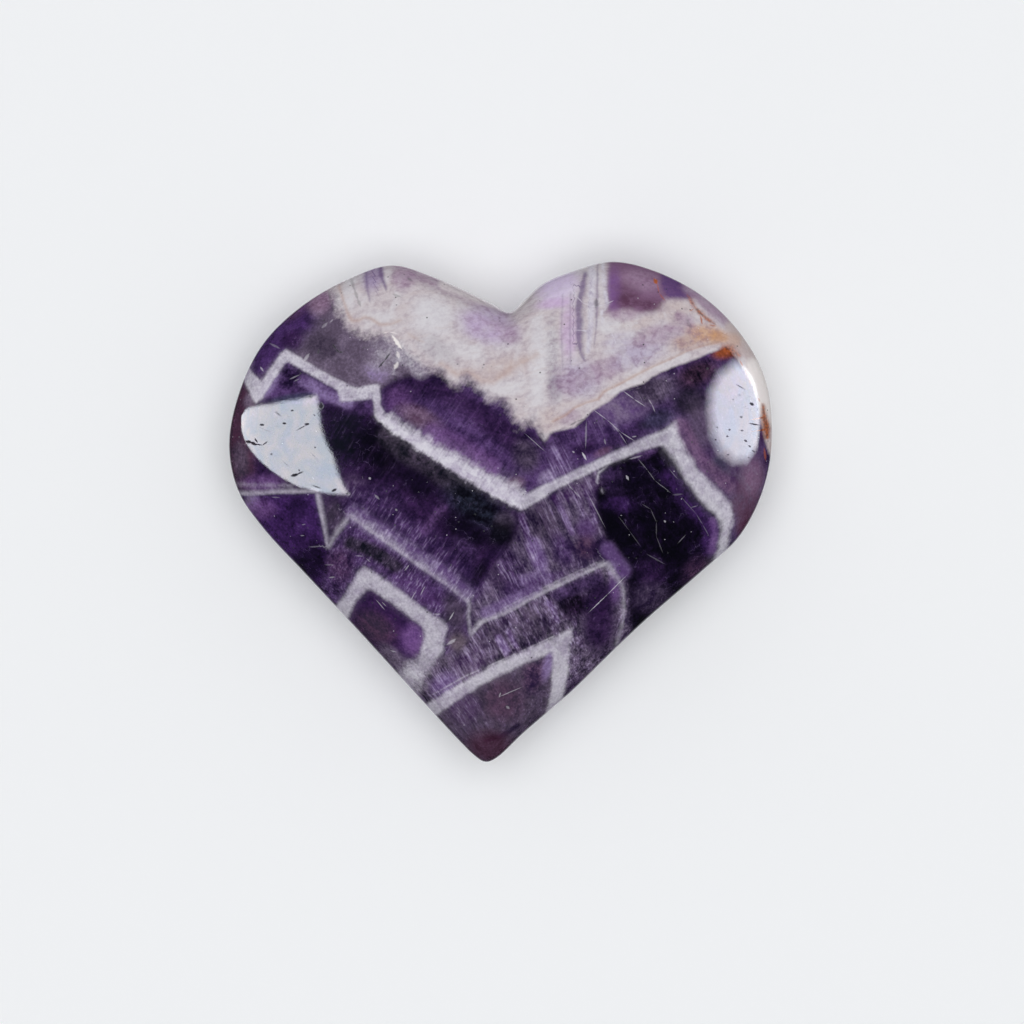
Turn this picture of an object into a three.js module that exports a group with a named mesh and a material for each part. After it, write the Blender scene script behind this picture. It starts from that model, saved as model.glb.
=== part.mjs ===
// A chevron amethyst heart: one polished stone, puffed on both faces and ground flat in the
// middle of its back, where it rests with the front up.
// Millimetres. X points to the right lobe, Y from the tip to the cleft, Z up through the front.
// The origin lies on the resting face, under the middle of the outline's box.
import * as THREE from 'three';

// Overall size.
const heartWidth = 76;
const heartLength = 70.2;
const frontRise = 12.2;
const rimHeight = 12;

// The resting face reaches this share of the way from the middle of the back to the rim.
const restShare = 0.36;
// A dome's height falls towards the rim as a power of 1 - share squared. 0.5 is an ellipse,
// and more than that a flatter dome with a tighter turn at the rim.
const frontPower = 0.54;
const backPower = 0.52;

// The outline seen from the front, from the bottom of the cleft round the left lobe.
const outlinePoints = [
  [1.3, 27.9], [-0.9, 29.05], [-4, 30.65], [-9.6, 33.1], [-15.2, 34.7], [-20.8, 33],
  [-27.8, 29.05], [-33.4, 23.6], [-36.8, 16.5], [-38.1, 9.4], [-36.8, 3], [-33.3, -2.2],
  [-27.4, -8.6], [-20.3, -16.2], [-12.8, -24.4], [-5.6, -32.2], [-3.5, -34.2], [-2.1, -35],
  [-0.6, -34.4], [3.3, -30.8], [10, -25], [15.75, -19.4], [20.3, -15.1], [28.3, -8.15],
  [33.5, -3.3], [36.8, 3.1], [38.05, 10.1], [37.2, 18.5], [33.8, 24.9], [28.2, 30.45],
  [21.2, 34.05], [15.6, 35.2], [10, 33.8], [5.8, 32], [3, 29.5],
];
// The curve through the points is kept as this many waves each way round. The widest waves
// carry the heart, the narrow ones the cleft and the tip.
const waveCount = 90;
const waveFade = 70;
const outlineSamples = 720;

// The mesh: columns round the outline, rings from the rim to the crown and to the resting face.
const columnCount = 144;
const frontRings = 14;
const backRings = 11;

// The outline at its real size, centred on the origin, at equal steps along its length.
function sampleOutline() {
  const points = outlinePoints.map(([x, y]) => new THREE.Vector3(x, y, 0));
  const curve = new THREE.CatmullRomCurve3(points, true, 'centripetal');
  curve.arcLengthDivisions = 4 * outlineSamples;
  const samples = curve.getSpacedPoints(outlineSamples).slice(0, outlineSamples);
  const box = new THREE.Box3().setFromPoints(samples);
  const middle = box.getCenter(new THREE.Vector3());
  const size = box.getSize(new THREE.Vector3());
  const scale = new THREE.Vector3(heartWidth / size.x, heartLength / size.y, 1);
  return samples.map((point) => point.sub(middle).multiply(scale));
}

// The waves that add up to the outline: wave n turns n times while the outline goes round once.
function findWaves(samples) {
  const waves = [];
  for (let n = -waveCount; n <= waveCount; n += 1) {
    const fade = Math.exp(-((n / waveFade) ** 2)) / samples.length;
    let x = 0;
    let y = 0;
    samples.forEach((point, k) => {
      const angle = (2 * Math.PI * n * k) / samples.length;
      x += fade * (point.x * Math.cos(angle) + point.y * Math.sin(angle));
      y += fade * (point.y * Math.cos(angle) - point.x * Math.sin(angle));
    });
    waves.push({ n, x, y });
  }
  return waves;
}

// A point of the plan: share 1 is the rim and 0 the middle. Wave n shrinks as share to the
// power of the square root of n, so that the cleft and the tip soften towards the middle.
function planPoint(waves, share, turn) {
  let x = 0;
  let y = 0;
  for (const wave of waves) {
    const reach = wave.n === 0 ? 1 : share ** Math.sqrt(Math.abs(wave.n));
    const angle = wave.n * turn;
    x += reach * (wave.x * Math.cos(angle) - wave.y * Math.sin(angle));
    y += reach * (wave.x * Math.sin(angle) + wave.y * Math.cos(angle));
  }
  return [x, y];
}

function frontHeight(share) {
  return rimHeight + frontRise * (1 - share ** 2) ** frontPower;
}

// The back dome starts level at the edge of the resting face.
function backHeight(share) {
  const outward = Math.max(share - restShare, 0) / (1 - restShare);
  return rimHeight * (1 - Math.max(1 - outward ** 2, 0) ** backPower);
}

// The rings, from the edge of the resting face up the back, over the rim and up the front.
function ringShares() {
  const rings = [];
  for (let i = 0; i < backRings; i += 1) {
    const outward = Math.sin((Math.PI / 2) * (i / backRings));
    const share = restShare + (1 - restShare) * outward;
    rings.push({ share, height: backHeight(share) });
  }
  rings.push({ share: 1, height: rimHeight });
  for (let i = 1; i < frontRings; i += 1) {
    const share = Math.cos((Math.PI / 2) * (i / frontRings));
    rings.push({ share, height: frontHeight(share) });
  }
  return rings;
}

function makeHeartGeometry() {
  const waves = findWaves(sampleOutline());
  const rings = ringShares();
  const positions = [];
  const triangles = [];
  for (const ring of rings) {
    for (let j = 0; j < columnCount; j += 1) {
      const [x, y] = planPoint(waves, ring.share, (2 * Math.PI * j) / columnCount);
      positions.push(x, y, ring.height);
    }
  }
  const bottom = rings.length * columnCount;
  const top = bottom + 1;
  const [middleX, middleY] = planPoint(waves, 0, 0);
  positions.push(middleX, middleY, 0);
  positions.push(middleX, middleY, frontHeight(0));
  const last = (rings.length - 1) * columnCount;
  for (let j = 0; j < columnCount; j += 1) {
    const next = (j + 1) % columnCount;
    for (let i = 0; i < rings.length - 1; i += 1) {
      const low = i * columnCount;
      const high = low + columnCount;
      triangles.push(low + j, low + next, high + next);
      triangles.push(low + j, high + next, high + j);
    }
    triangles.push(bottom, next, j);
    triangles.push(top, last + j, last + next);
  }
  const geometry = new THREE.BufferGeometry();
  geometry.setAttribute('position', new THREE.Float32BufferAttribute(positions, 3));
  geometry.setIndex(triangles);
  geometry.computeVertexNormals();
  return geometry;
}

const polishedAmethyst = new THREE.MeshStandardMaterial({
  color: 0x55446e,
  roughness: 0.12,
  metalness: 0,
});

const heart = new THREE.Mesh(makeHeartGeometry(), polishedAmethyst);
heart.name = 'amethyst_heart';

const group = new THREE.Group();
group.add(heart);

export default group;
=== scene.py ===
# A chevron amethyst heart, polished all over, lying on its back on a pale floor.
import math

import bpy
import numpy as np
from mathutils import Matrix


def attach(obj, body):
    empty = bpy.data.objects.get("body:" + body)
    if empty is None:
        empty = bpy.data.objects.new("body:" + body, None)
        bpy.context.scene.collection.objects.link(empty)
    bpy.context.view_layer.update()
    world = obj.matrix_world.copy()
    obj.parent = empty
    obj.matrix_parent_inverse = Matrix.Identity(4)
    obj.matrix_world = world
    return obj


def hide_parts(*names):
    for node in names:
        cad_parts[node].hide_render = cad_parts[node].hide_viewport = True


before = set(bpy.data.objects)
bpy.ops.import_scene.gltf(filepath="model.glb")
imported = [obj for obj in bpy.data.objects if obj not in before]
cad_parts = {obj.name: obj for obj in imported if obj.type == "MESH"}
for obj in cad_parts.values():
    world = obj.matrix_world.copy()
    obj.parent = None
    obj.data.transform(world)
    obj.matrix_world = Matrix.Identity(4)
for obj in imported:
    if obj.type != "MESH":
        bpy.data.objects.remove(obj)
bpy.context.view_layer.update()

mm = 0.001  # every length in the dictionaries below is in millimetres

# The stone's form. The outline runs from the bottom of the cleft round the left lobe.
heartShape = {
    "width": 76, "length": 70.08,       # of the outline
    "frontRise": 12.2, "rimHeight": 12,  # crown above the rim, rim above the floor
    "restShare": 0.36,                  # the flat on the back, as a share of the way to the rim
    "frontPower": 0.54, "backPower": 0.52,  # 0.5 is an ellipse, and more is a flatter dome
    "waveCount": 120, "waveFade": 130, "samples": 720,
    "columns": 640, "frontRings": 98, "backRings": 52,
    "crownShare": 0.012, "footShare": 0.03, "rimCrowding": 6,  # of the rings
    "outline": [
        (1.3, 28.06), (-0.9, 29.1), (-4, 30.65), (-9.6, 33.1), (-15.2, 34.7), (-20.8, 33),
        (-27.8, 29.05), (-33.4, 23.6), (-36.8, 16.5), (-38.1, 9.4), (-36.8, 3), (-33.3, -2.2),
        (-27.4, -8.6), (-20.3, -16.2), (-12.8, -24.4), (-5.6, -32.2), (-3.5, -34.2), (-2.1, -35),
        (-0.6, -34.4), (3.3, -30.8), (10, -25), (15.75, -19.4), (20.3, -15.1), (28.3, -8.15),
        (33.5, -3.3), (36.8, 3.1), (38.05, 10.1), (37.2, 18.5), (33.8, 24.9), (28.2, 30.45),
        (21.2, 34.05), (15.6, 35.2), (10, 33.8), (5.8, 32), (3, 29.5),
    ],
}


# A closed curve through the points: on each stretch a cubic whose end slopes come from the
# neighbours, with the square root of each gap as its length of time.
def closedCurve(corners, steps=60):
    p1 = np.array(corners, float)
    p0, p2, p3 = np.roll(p1, 1, 0), np.roll(p1, -1, 0), np.roll(p1, -2, 0)
    pairs = ((p0, p1), (p1, p2), (p2, p3))
    gap = [np.sqrt(np.linalg.norm(b - a, axis=1))[:, None] for a, b in pairs]
    slope1 = ((p1 - p0) / gap[0] - (p2 - p0) / (gap[0] + gap[1]) + (p2 - p1) / gap[1]) * gap[1]
    slope2 = ((p2 - p1) / gap[1] - (p3 - p1) / (gap[1] + gap[2]) + (p3 - p2) / gap[2]) * gap[1]
    t = (np.arange(steps) / steps)[:, None, None]
    cubic = 2 * p1 - 2 * p2 + slope1 + slope2
    square = -3 * p1 + 3 * p2 - 2 * slope1 - slope2
    curve = p1 + slope1 * t + square * t**2 + cubic * t**3
    return curve.transpose(1, 0, 2).reshape(-1, 2)


# The outline as a sum of turning waves: at equal steps along its length, x + iy is the sum
# over n of wave n times e to the i n turn. Narrow waves fade, which rounds the cleft and tip.
def outlineWaves(shape):
    curve = closedCurve(shape["outline"])
    loop = np.vstack([curve, curve[:1]])
    length = np.r_[0, np.cumsum(np.linalg.norm(np.diff(loop, axis=0), axis=1))]
    steps = np.arange(shape["samples"]) / shape["samples"]
    spots = np.array([np.interp(steps * length[-1], length, loop[:, k]) for k in (0, 1)]).T
    low, high = spots.min(0), spots.max(0)
    spots = (spots - (low + high) / 2) * (shape["width"], shape["length"]) / (high - low)
    number = np.arange(-shape["waveCount"], shape["waveCount"] + 1)
    turns = np.exp(-2j * np.pi * number[:, None] * steps)
    waves = turns @ (spots[:, 0] + 1j * spots[:, 1]) / shape["samples"]
    return number, waves * np.exp(-((number / shape["waveFade"]) ** 2))


# The plan of the rings: wave n shrinks as the ring's share to the power of the root of n,
# so the cleft and the tip soften towards the middle. Rows are rings, columns go round.
def planRings(shape, shares):
    number, waves = outlineWaves(shape)
    turn = 2 * np.pi * np.arange(shape["columns"]) / shape["columns"]
    reach = shares[:, None] ** np.sqrt(np.abs(number))
    return (reach * waves) @ np.exp(1j * number[:, None] * turn)


# Shares of the rings from the rim, which is 1, inwards to the end: close together at the rim,
# where step n lies at n squared over n plus a few, then at even steps.
def ringShares(shape, count, end):
    step = np.arange(count + 1.0)
    inward = step**2 / (step + shape["rimCrowding"])
    return 1 - (1 - end) * inward / inward[-1]


# The front dome over a ring: 1 less its share squared, to a power.
def frontHeight(shape, share):
    return shape["rimHeight"] + shape["frontRise"] * (1 - share**2) ** shape["frontPower"]


# The back is level out to the flat's edge, and from there the same kind of dome turned over.
def backHeight(shape, share):
    outward = np.clip((share - shape["restShare"]) / (1 - shape["restShare"]), 0, 1)
    return shape["rimHeight"] * (1 - (1 - outward**2) ** shape["backPower"])


# The heart's grid: rings from the crown down the front, over the rim and in under the back.
# Returns the places, the faces, and for each place its depth under the front surface.
def heartGrid(shape):
    front = ringShares(shape, shape["frontRings"], shape["crownShare"])
    back = ringShares(shape, shape["backRings"], shape["footShare"])[1:]
    shares = np.r_[front[::-1], back]
    heights = np.r_[frontHeight(shape, front[::-1]), backHeight(shape, back)]
    plan = planRings(shape, shares)
    rings, columns = plan.shape
    places = np.stack([plan.real, plan.imag, np.broadcast_to(heights[:, None], plan.shape)], -1)
    middle = plan.mean()
    crown = [middle.real, middle.imag, frontHeight(shape, 0)]
    foot = [middle.real, middle.imag, 0]
    depth = np.broadcast_to((frontHeight(shape, shares) - heights)[:, None], plan.shape)
    places = np.vstack([places.reshape(-1, 3), crown, foot])
    depth = np.r_[depth.ravel(), 0, frontHeight(shape, 0)]
    i, j = np.meshgrid(np.arange(rings - 1), np.arange(columns), indexing="ij")
    a, b = i * columns + j, i * columns + (j + 1) % columns
    quads = np.stack([a, a + columns, b + columns, b], -1).reshape(-1, 4)
    j = np.arange(columns)
    crownFan = np.stack([np.full(columns, rings * columns), j, (j + 1) % columns], -1)
    last = (rings - 1) * columns
    footFan = np.stack([np.full(columns, rings * columns + 1), last + (j + 1) % columns, last + j],
                       -1)
    return places, quads.tolist() + crownFan.tolist() + footFan.tolist(), depth


# The bands and areas are drawn on a plan at the height of the rim, as they look from a point
# above the stone, and are fixed to the stone's surface from there.
pattern = {
    "eyeRise": 450, "eyeMiddle": (1.6, 0),  # of that point, over the rim and on the plan
    "backShift": (3.5, 8.5),                # how far the pattern has moved at the foot's depth
    "backSway": (1.4, 9),                   # how far it sways on the way, and how slowly
    "tipX": 3.5, "tipBlur": 0.6,            # where the two families of fibres meet
    "thinHalf": 0.42,                       # a line with less half width keeps its two sides apart
    "dashGap": 1.9, "dashReach": 1.1,       # between dashes of a layer, and round a dash
    "creamBlur": (0.28, 0.8), "creamRag": (0.12, 0.75),  # at its right edge, and more at its left
}


# Places on the plan: straight down, and for what lies above the rim a little outwards.
def planFromAbove(places):
    middle = np.array(pattern["eyeMiddle"])
    rise = np.maximum(places[:, 2:] - heartShape["rimHeight"], 0)
    return middle + (places[:, :2] - middle) * pattern["eyeRise"] / (pattern["eyeRise"] - rise)


# The palette, as the colours look in even white light. "flare" is the near white of painted highlights,
# and "pink" is lifted to offset the shade on the lobe's rim.
inks = {
    "black": "06050d", "coldBlack": "0f111a", "night": "160c27", "deep": "221336", "plum": "402552",
    "royal": "4a2b68", "violet": "5f4478", "orchid": "7a5690", "lilac": "9480ae", "frost": "b8abca",
    "lavender": "b9adc8", "ash": "332a3c", "smoke": "5b4e62", "haze": "83748c", "slate": "3a4056",
    "maroon": "4d2a40", "garnet": "3a1829", "wine": "5f4058", "mauve": "82617f", "rose": "a98fa8",
    "pink": "dccbea", "dust": "776a70", "blush": "cfb0da", "milk": "dedae4", "cream": "d2c8cc",
    "white": "dfdce1", "flare": "fbf4f2", "glass": "c2bfc6", "amber": "cd9a6e", "veil": "bab0c5",
    "tan": "b9978a", "sand": "cdbdbc", "rust": "b25c2a", "deepRust": "73391f",
}


# An ink as linear red, green and blue.
def ink(name):
    value = np.array([int(inks[name][k:k + 2], 16) / 255 for k in (0, 2, 4)])
    return np.where(value <= 0.04045, value / 12.92, ((value + 0.055) / 1.055) ** 2.4)


# The white bands' centre lines, left to right. A third number is half the width there, for the
# stretches that are drawn as lines.
mainRim = [(-41, 42), (-37.4, 25.8), (-35.5, 19.2), (-34.1, 16.5), (-32.9, 17.9), (-30, 22.1),
           (-26.5, 20), (-23.4, 18.1), (-21.4, 16.5), (-19.6, 16.6), (-17.9, 16.9)]
mainDrop = [(-17.6, 16.9), (-17.5, 15), (-17.2, 13.5)]
mainArm = [(-16.7, 13.4, 0.5), (-15, 12.2, 0.8), (-13.8, 11.3, 0.88), (-11.5, 9.9, 1),
           (-9, 8.2, 1.02), (-6.2, 6.6, 1.02), (-0.8, 3.35, 1.15), (1.4, 2.5, 1.3),
           (2.8, 1.5, 1.1)]
mainRise = [(3, 1.2, 0.8), (6, 2.9, 0.74), (8, 4, 0.6), (10, 4.95, 0.58), (14, 6.85, 0.6),
            (18, 8.6, 0.68), (20, 9.5, 0.76), (22, 10.15, 0.92), (23.4, 10.65, 1)]
mainFall = [(24.05, 12.3), (23.8, 11.2), (24.1, 9.8), (24.7, 8), (25.8, 6), (27.2, 4.2), (28.5, 3),
            (29.6, 1.6), (31.3, -0.6), (31.7, -2.4), (31.6, -4.6), (30, -9), (22, -60)]
innerUp = [(-24.2, -5, 0.2), (-22.9, -2.8, 0.3), (-21.2, -0.6, 0.3)]
innerArm = [(-21, -0.4, 0.35), (-18.5, -2.2, 0.36), (-15.9, -4, 0.34), (-12.5, -6.5, 0.34),
            (-9.8, -8.5, 0.32), (-7.8, -9.8, 0.3), (-4.5, -12.4, 0.3)]
innerJoin = [(-4.4, -12.8, 0.16), (-4.5, -14.7, 0.16), (-4.2, -17.2, 0.16)]
innerRise = [(-4.1, -17.1, 0.22), (-2.7, -15.4, 0.26), (-1.1, -14.75, 0.28), (0.4, -14.2, 0.28),
             (2, -13.4, 0.28), (4, -12.2, 0.28), (6.8, -10.8, 0.28), (12.4, -8.15, 0.28),
             (14.6, -7.2, 0.3)]
innerFall = [(14.9, -7.1, 0.4), (16, -8.8, 0.35), (17.1, -10.6, 0.22), (17.3, -13.2, 0.15),
             (17, -16, 0.15), (16.3, -18.3, 0.12), (14.5, -25, 0.12)]
lowLeft = [(-27, -23), (-22.2, -14), (-21.2, -12.1), (-19.9, -9.9), (-19, -9.1), (-16.5, -10.7),
           (-14, -12.4), (-11.5, -14.2), (-9.8, -15.7), (-9.2, -16.9), (-9.4, -18.5), (-9.9, -20)]
lowTail = [(-10.4, -20.6, 1), (-11.4, -21.8, 1.2), (-12.7, -23, 1.4), (-16, -27, 1.4)]
lowRise = [(-14, -30.2), (-9.6, -27), (-5, -24.6), (-2, -23.1), (0, -22.1), (4, -20.3),
           (8.4, -18.3)]
lowFall = [(9.6, -16.7), (9.3, -17.8), (8.7, -19.6), (8.3, -22), (7.8, -24.8), (4.4, -36)]
creamLeft = [(-30, 48), (-26, 36), (-23.9, 31.4), (-22.9, 29), (-22.4, 27.5), (-21.8, 26.2),
             (-20.4, 25.4), (-18.6, 24.8), (-17, 24.6), (-15.2, 24.2), (-14, 23.4), (-12.4, 22),
             (-11, 20.6), (-9.6, 19.8), (-8, 19.4), (-7, 17.9), (-6, 17.7), (-5.3, 18.6),
             (-4.4, 18.7), (-3.4, 17.8), (-2.7, 17.2), (-1.9, 16), (-1, 15.7), (0.8, 15.5),
             (1.7, 14.1), (2, 12.7), (3, 12.3), (4.1, 12.8), (5.2, 11.8), (6.3, 10.3)]
creamRight = [(6.2, 10.2), (7.2, 11.2), (9, 11.6), (10.4, 11.9), (11.6, 12.9), (12.8, 14.2),
              (14, 14.8), (15.4, 15.6), (16.6, 16.8), (18, 17.4), (20, 18), (21, 18.8), (23.4, 20),
              (26, 20.9), (28, 21.7), (30.4, 22.7), (31.6, 23.2), (32.5, 22.2), (33.4, 20.9),
              (34.3, 19.5), (35.3, 17.8), (35.8, 16), (36.2, 14), (36.8, 11), (37.4, 8.5),
              (38.6, 6.5), (44, 2)]
# the outlines of the widest white shapes
rimShape = [(-38, 26), (-35.1, 20), (-33.6, 18.3), (-33.1, 18.8), (-30.9, 22), (-30, 22.8),
            (-26.9, 20.9), (-23.9, 19.1), (-20.2, 17.3), (-18.2, 17.8), (-17, 17.9), (-16.8, 15),
            (-16.2, 14), (-17, 12.6), (-17.6, 13.5), (-17.8, 15.9), (-19.8, 15.7), (-21.3, 15.5),
            (-22.4, 15.4), (-22.8, 17), (-26, 18.9), (-29.8, 21.1), (-30.2, 20.8), (-32.6, 17.1),
            (-33.4, 15.8), (-34.2, 15.2), (-34.5, 15.5), (-35.9, 18.4), (-37.5, 22), (-42, 42),
            (-43, 42)]
fallShape = [(22.5, 9.5), (23, 8.9), (23.7, 8.1), (24.4, 7.1), (24.8, 6.1), (25.6, 5.1),
             (26.2, 4.1), (26.9, 3.1), (27.6, 2), (28.9, 0.8), (30.1, -0.4), (30.9, -1.3),
             (30.9, -2.7), (30.4, -5.3), (28, -12), (21, -60), (23, -60), (29.6, -12), (31.6, -6),
             (31.9, -3.5), (32.3, -2), (32.5, 0), (31.9, 1.5), (30.9, 2.6), (29.1, 4.2),
             (27.4, 6.2), (26.3, 8.1), (25.2, 10), (24.6, 12), (24.5, 12.7), (23.2, 11.6),
             (22.1, 10.9)]
lowLeftShape = [(-23, -13.2), (-21.8, -11.7), (-19.8, -8.4), (-19.1, -7.7), (-17, -9),
                (-14.6, -10.6), (-12.5, -12.3), (-10, -14.2), (-8.2, -15.2), (-7.5, -16.1),
                (-8, -18), (-8, -19.6), (-9, -20.4), (-10.8, -21), (-11.3, -20), (-10.7, -17.9),
                (-10.6, -16.5), (-11.1, -15.8), (-13.6, -13.9), (-15.8, -12.3), (-18.1, -10.7),
                (-18.9, -10.9), (-20.4, -12.6), (-21.3, -14.6), (-24, -19), (-27, -24), (-29, -23)]
lowShape = [(-9.5, -26.4), (-4.1, -23.1), (-0.1, -21), (3.9, -19.2), (7.9, -17.4), (10.2, -16.1),
            (10, -17.2), (9.6, -19.5), (9.5, -22), (9, -24.5), (8, -30), (6, -36), (4, -36),
            (6.8, -26.8), (7.1, -25), (7.2, -22.5), (7.3, -20.5), (7.1, -19.6), (3.9, -21),
            (1.5, -22.1), (-0.1, -22.8), (-2.7, -24.2), (-6, -26.3), (-8.7, -28.2), (-14, -31.6),
            (-16, -30)]


# A band or line over the ground: its centre line, how far its left and right edges blur and
# how far they are ragged, in millimetres, and how much it covers.
def band(line, blur, rag, cover):
    rag = rag if isinstance(rag, tuple) else (rag, rag)
    return {"line": line, "blur": blur, "rag": rag, "cover": cover}


# The same for a shape given by its outline.
def patch(edge, blur, rag, cover):
    return {"edge": edge, "blur": (blur, blur), "rag": (rag, rag), "cover": cover}


# the white bands, from the top left to the tip
whiteBands = [
    patch(rimShape, 0.26, 0.1, 0.82),
    band(mainArm, (0.95, 0.35), (0.8, 0.45), 1),
    band(mainRise, (0.32, 0.26), 0.1, 0.71),
    patch(fallShape, 0.55, 0.25, 0.8),
    band([(-45, 2.4, 0.2), (-35.2, 2.6, 0.3), (-31, 2.85, 0.28), (-25.9, 2.95, 0.28)], (0.4, 0.2),
         0.06, 0.5),
    band([(-25.7, 3, 0.32), (-25.1, 0, 0.28), (-24.6, -2.5, 0.2), (-24.2, -4.9, 0.14)],
         (0.5, 0.25), 0.06, 0.52),
    band(innerUp, (0.5, 0.4), 0.15, 0.42),
    band(innerArm, (0.9, 0.25), (0.6, 0.1), 0.46),
    band(innerJoin, (0.3, 0.3), 0.15, 0.42),
    band(innerRise, (0.5, 0.2), (0.15, 0.06), 0.5),
    band(innerFall, (0.3, 0.45), 0.06, 0.38),
    patch(lowLeftShape, 0.42, 0.18, 0.71),
    band(lowTail, (1, 1), 0.6, 0.52),
    patch(lowShape, 0.34, 0.16, 0.7),
    band([(12.8, 38, 0.5), (12.8, 33.6, 0.5), (12.7, 29, 0.45), (12.6, 26, 0.45),
          (12.2, 22.4, 0.3)], (0.35, 0.35), 0.2, 0.8),
]
# hair lines beside them and between the lobes
fineBands = [
    band([(-45, 4, 0.12), (-35.1, 3.8, 0.16), (-29.2, 3.7, 0.12)], (0.5, 0.5), 0.2, 0.3),
    band([(-9.4, -25.5, 0.06), (-5, -23, 0.06), (0, -20.8, 0.06), (4, -19, 0.06),
          (7.4, -17.4, 0.06)], (0.16, 0.16), 0.02, 0.5),
    # a painted glow: a soft white haze round the painted glints below the left lobe
    band([(-14.5, 22.8, 0.1), (-14.3, 21.5, 0.2), (-14.6, 20.4, 0.3), (-15.2, 19, 0.1)],
         (0.6, 0.6), 0.2, 0.5),
    band([(0.4, -13.5, 0.06), (6.8, -10.2, 0.06), (13.4, -7.1, 0.06)], (0.2, 0.2), 0.05, 0.35),
    band([(14.3, 38, 0.25), (14.3, 34.6, 0.25), (14.6, 31, 0.25), (14.9, 29.2, 0.22),
          (14.2, 28, 0.25), (14.3, 26.4, 0.15)], (0.25, 0.2), 0.1, 0.85),
    band([(14.8, 6.3, 0.06), (13.7, 5.5, 0.12), (13.5, 4.1, 0.16), (14.3, 2.8, 0.05)], (0.25, 0.2),
         0.1, 0.6),
]
# violet veins in the pale zone
violetLines = [
    band([(-18.9, 35.4, 0.2), (-18.7, 31.5, 0.2), (-18.3, 29.6, 0.08)], (0.3, 0.3), 0.1, 0.55),
    band([(-17, 36.4, 0.3), (-16.7, 33, 0.3), (-16, 31.2, 0.12)], (0.3, 0.3), 0.1, 0.72),
    band([(8.7, 30.4, 0.06), (8.5, 25.5, 0.1), (8.7, 20, 0.05)], (0.22, 0.22), 0.06, 0.3),
    band([(9.8, 20.6, 0.05), (9.7, 25.5, 0.12), (9.8, 30.6, 0.06)], (0.22, 0.22), 0.06, 0.35),
    band([(11.9, 33.4, 0.3), (11.4, 31, 0.45), (11, 29.5, 0.45), (10.9, 28, 0.5),
          (11.1, 26.5, 0.5), (11, 24, 0.45), (11.2, 22.4, 0.3), (11.7, 21.2, 0.08)], (0.45, 0.3),
         0.25, 0.7),
    band([(13.6, 36, 0.12), (13.5, 31, 0.14), (13.4, 26, 0.14), (13.1, 23.4, 0.06)], (0.2, 0.2),
         0.15, 0.5),
]
# tan veins in the pale zone
tanLines = [
    band([(7.4, 12.7, 0.12), (9, 13.5, 0.14), (10.4, 14.6, 0.12), (12, 15.3, 0.1),
          (13.7, 15.8, 0.12), (14.4, 16.8, 0.14), (17, 18.1, 0.14), (19.4, 19.4, 0.12),
          (21.4, 20.4, 0.1), (24, 21.5, 0.08), (26, 22.5, 0.08), (28, 23.2, 0.12),
          (30.4, 23.8, 0.2)], (0.35, 0.22), 0.08, 0.72),
    band([(-22.6, 31.6, 0.12), (-21.8, 29, 0.14), (-21.3, 27.6, 0.15), (-20.8, 26.8, 0.18),
          (-19.8, 26.8, 0.15), (-19, 27.3, 0.14), (-18, 27, 0.16), (-16.8, 26.2, 0.16),
          (-15.4, 26.3, 0.1), (-14, 26.8, 0.05)], (0.35, 0.35), 0.1, 0.6),
    band([(-13, 25, 0.06), (-11.8, 24.2, 0.1), (-10.8, 23.8, 0.06)], (0.4, 0.3), 0.1, 0.4),
    band([(-8.4, 20.8, 0.2), (-7, 20, 0.25), (-6, 19.2, 0.25), (-4.6, 19.7, 0.3), (-3.4, 19, 0.3),
          (-2.6, 18.4, 0.3), (-1, 18.3, 0.3), (0, 19, 0.25), (1.4, 20.2, 0.25), (3.2, 21, 0.2),
          (5.2, 22.2, 0.1)], (0.8, 0.6), 0.2, 0.5),
]
# rust in the cracks of the right lobe
rustLines = [
    band([(26.2, 30.2, 0.1), (26.8, 29.2, 0.14), (27.4, 28.4, 0.16), (28.2, 27.6, 0.2),
          (28.8, 27, 0.16), (30, 26.3, 0.08)], (0.35, 0.35), 0.35, 0.85),
    band([(31, 23, 0.2), (32.3, 22.8, 0.45), (33.4, 21.9, 0.2)], (0.7, 0.7), 0.2, 0.85),
    band([(36.7, 15, 0.15), (37, 13, 0.45), (37.2, 12, 0.5), (37.3, 10.4, 0.3)], (0.35, 0.35), 0.2,
         0.95),
]


# A small straight mark that tapers to both ends: its ends, half its width, its cover.
def dash(x1, y1, x2, y2, half, cover):
    return {"ends": ((x1, y1), (x2, y2)), "half": half, "cover": cover}


# One dash for each stretch of a bent line.
def dashes(spots, half, cover):
    return [dash(*a, *b, half, cover) for a, b in zip(spots, spots[1:])]


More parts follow.
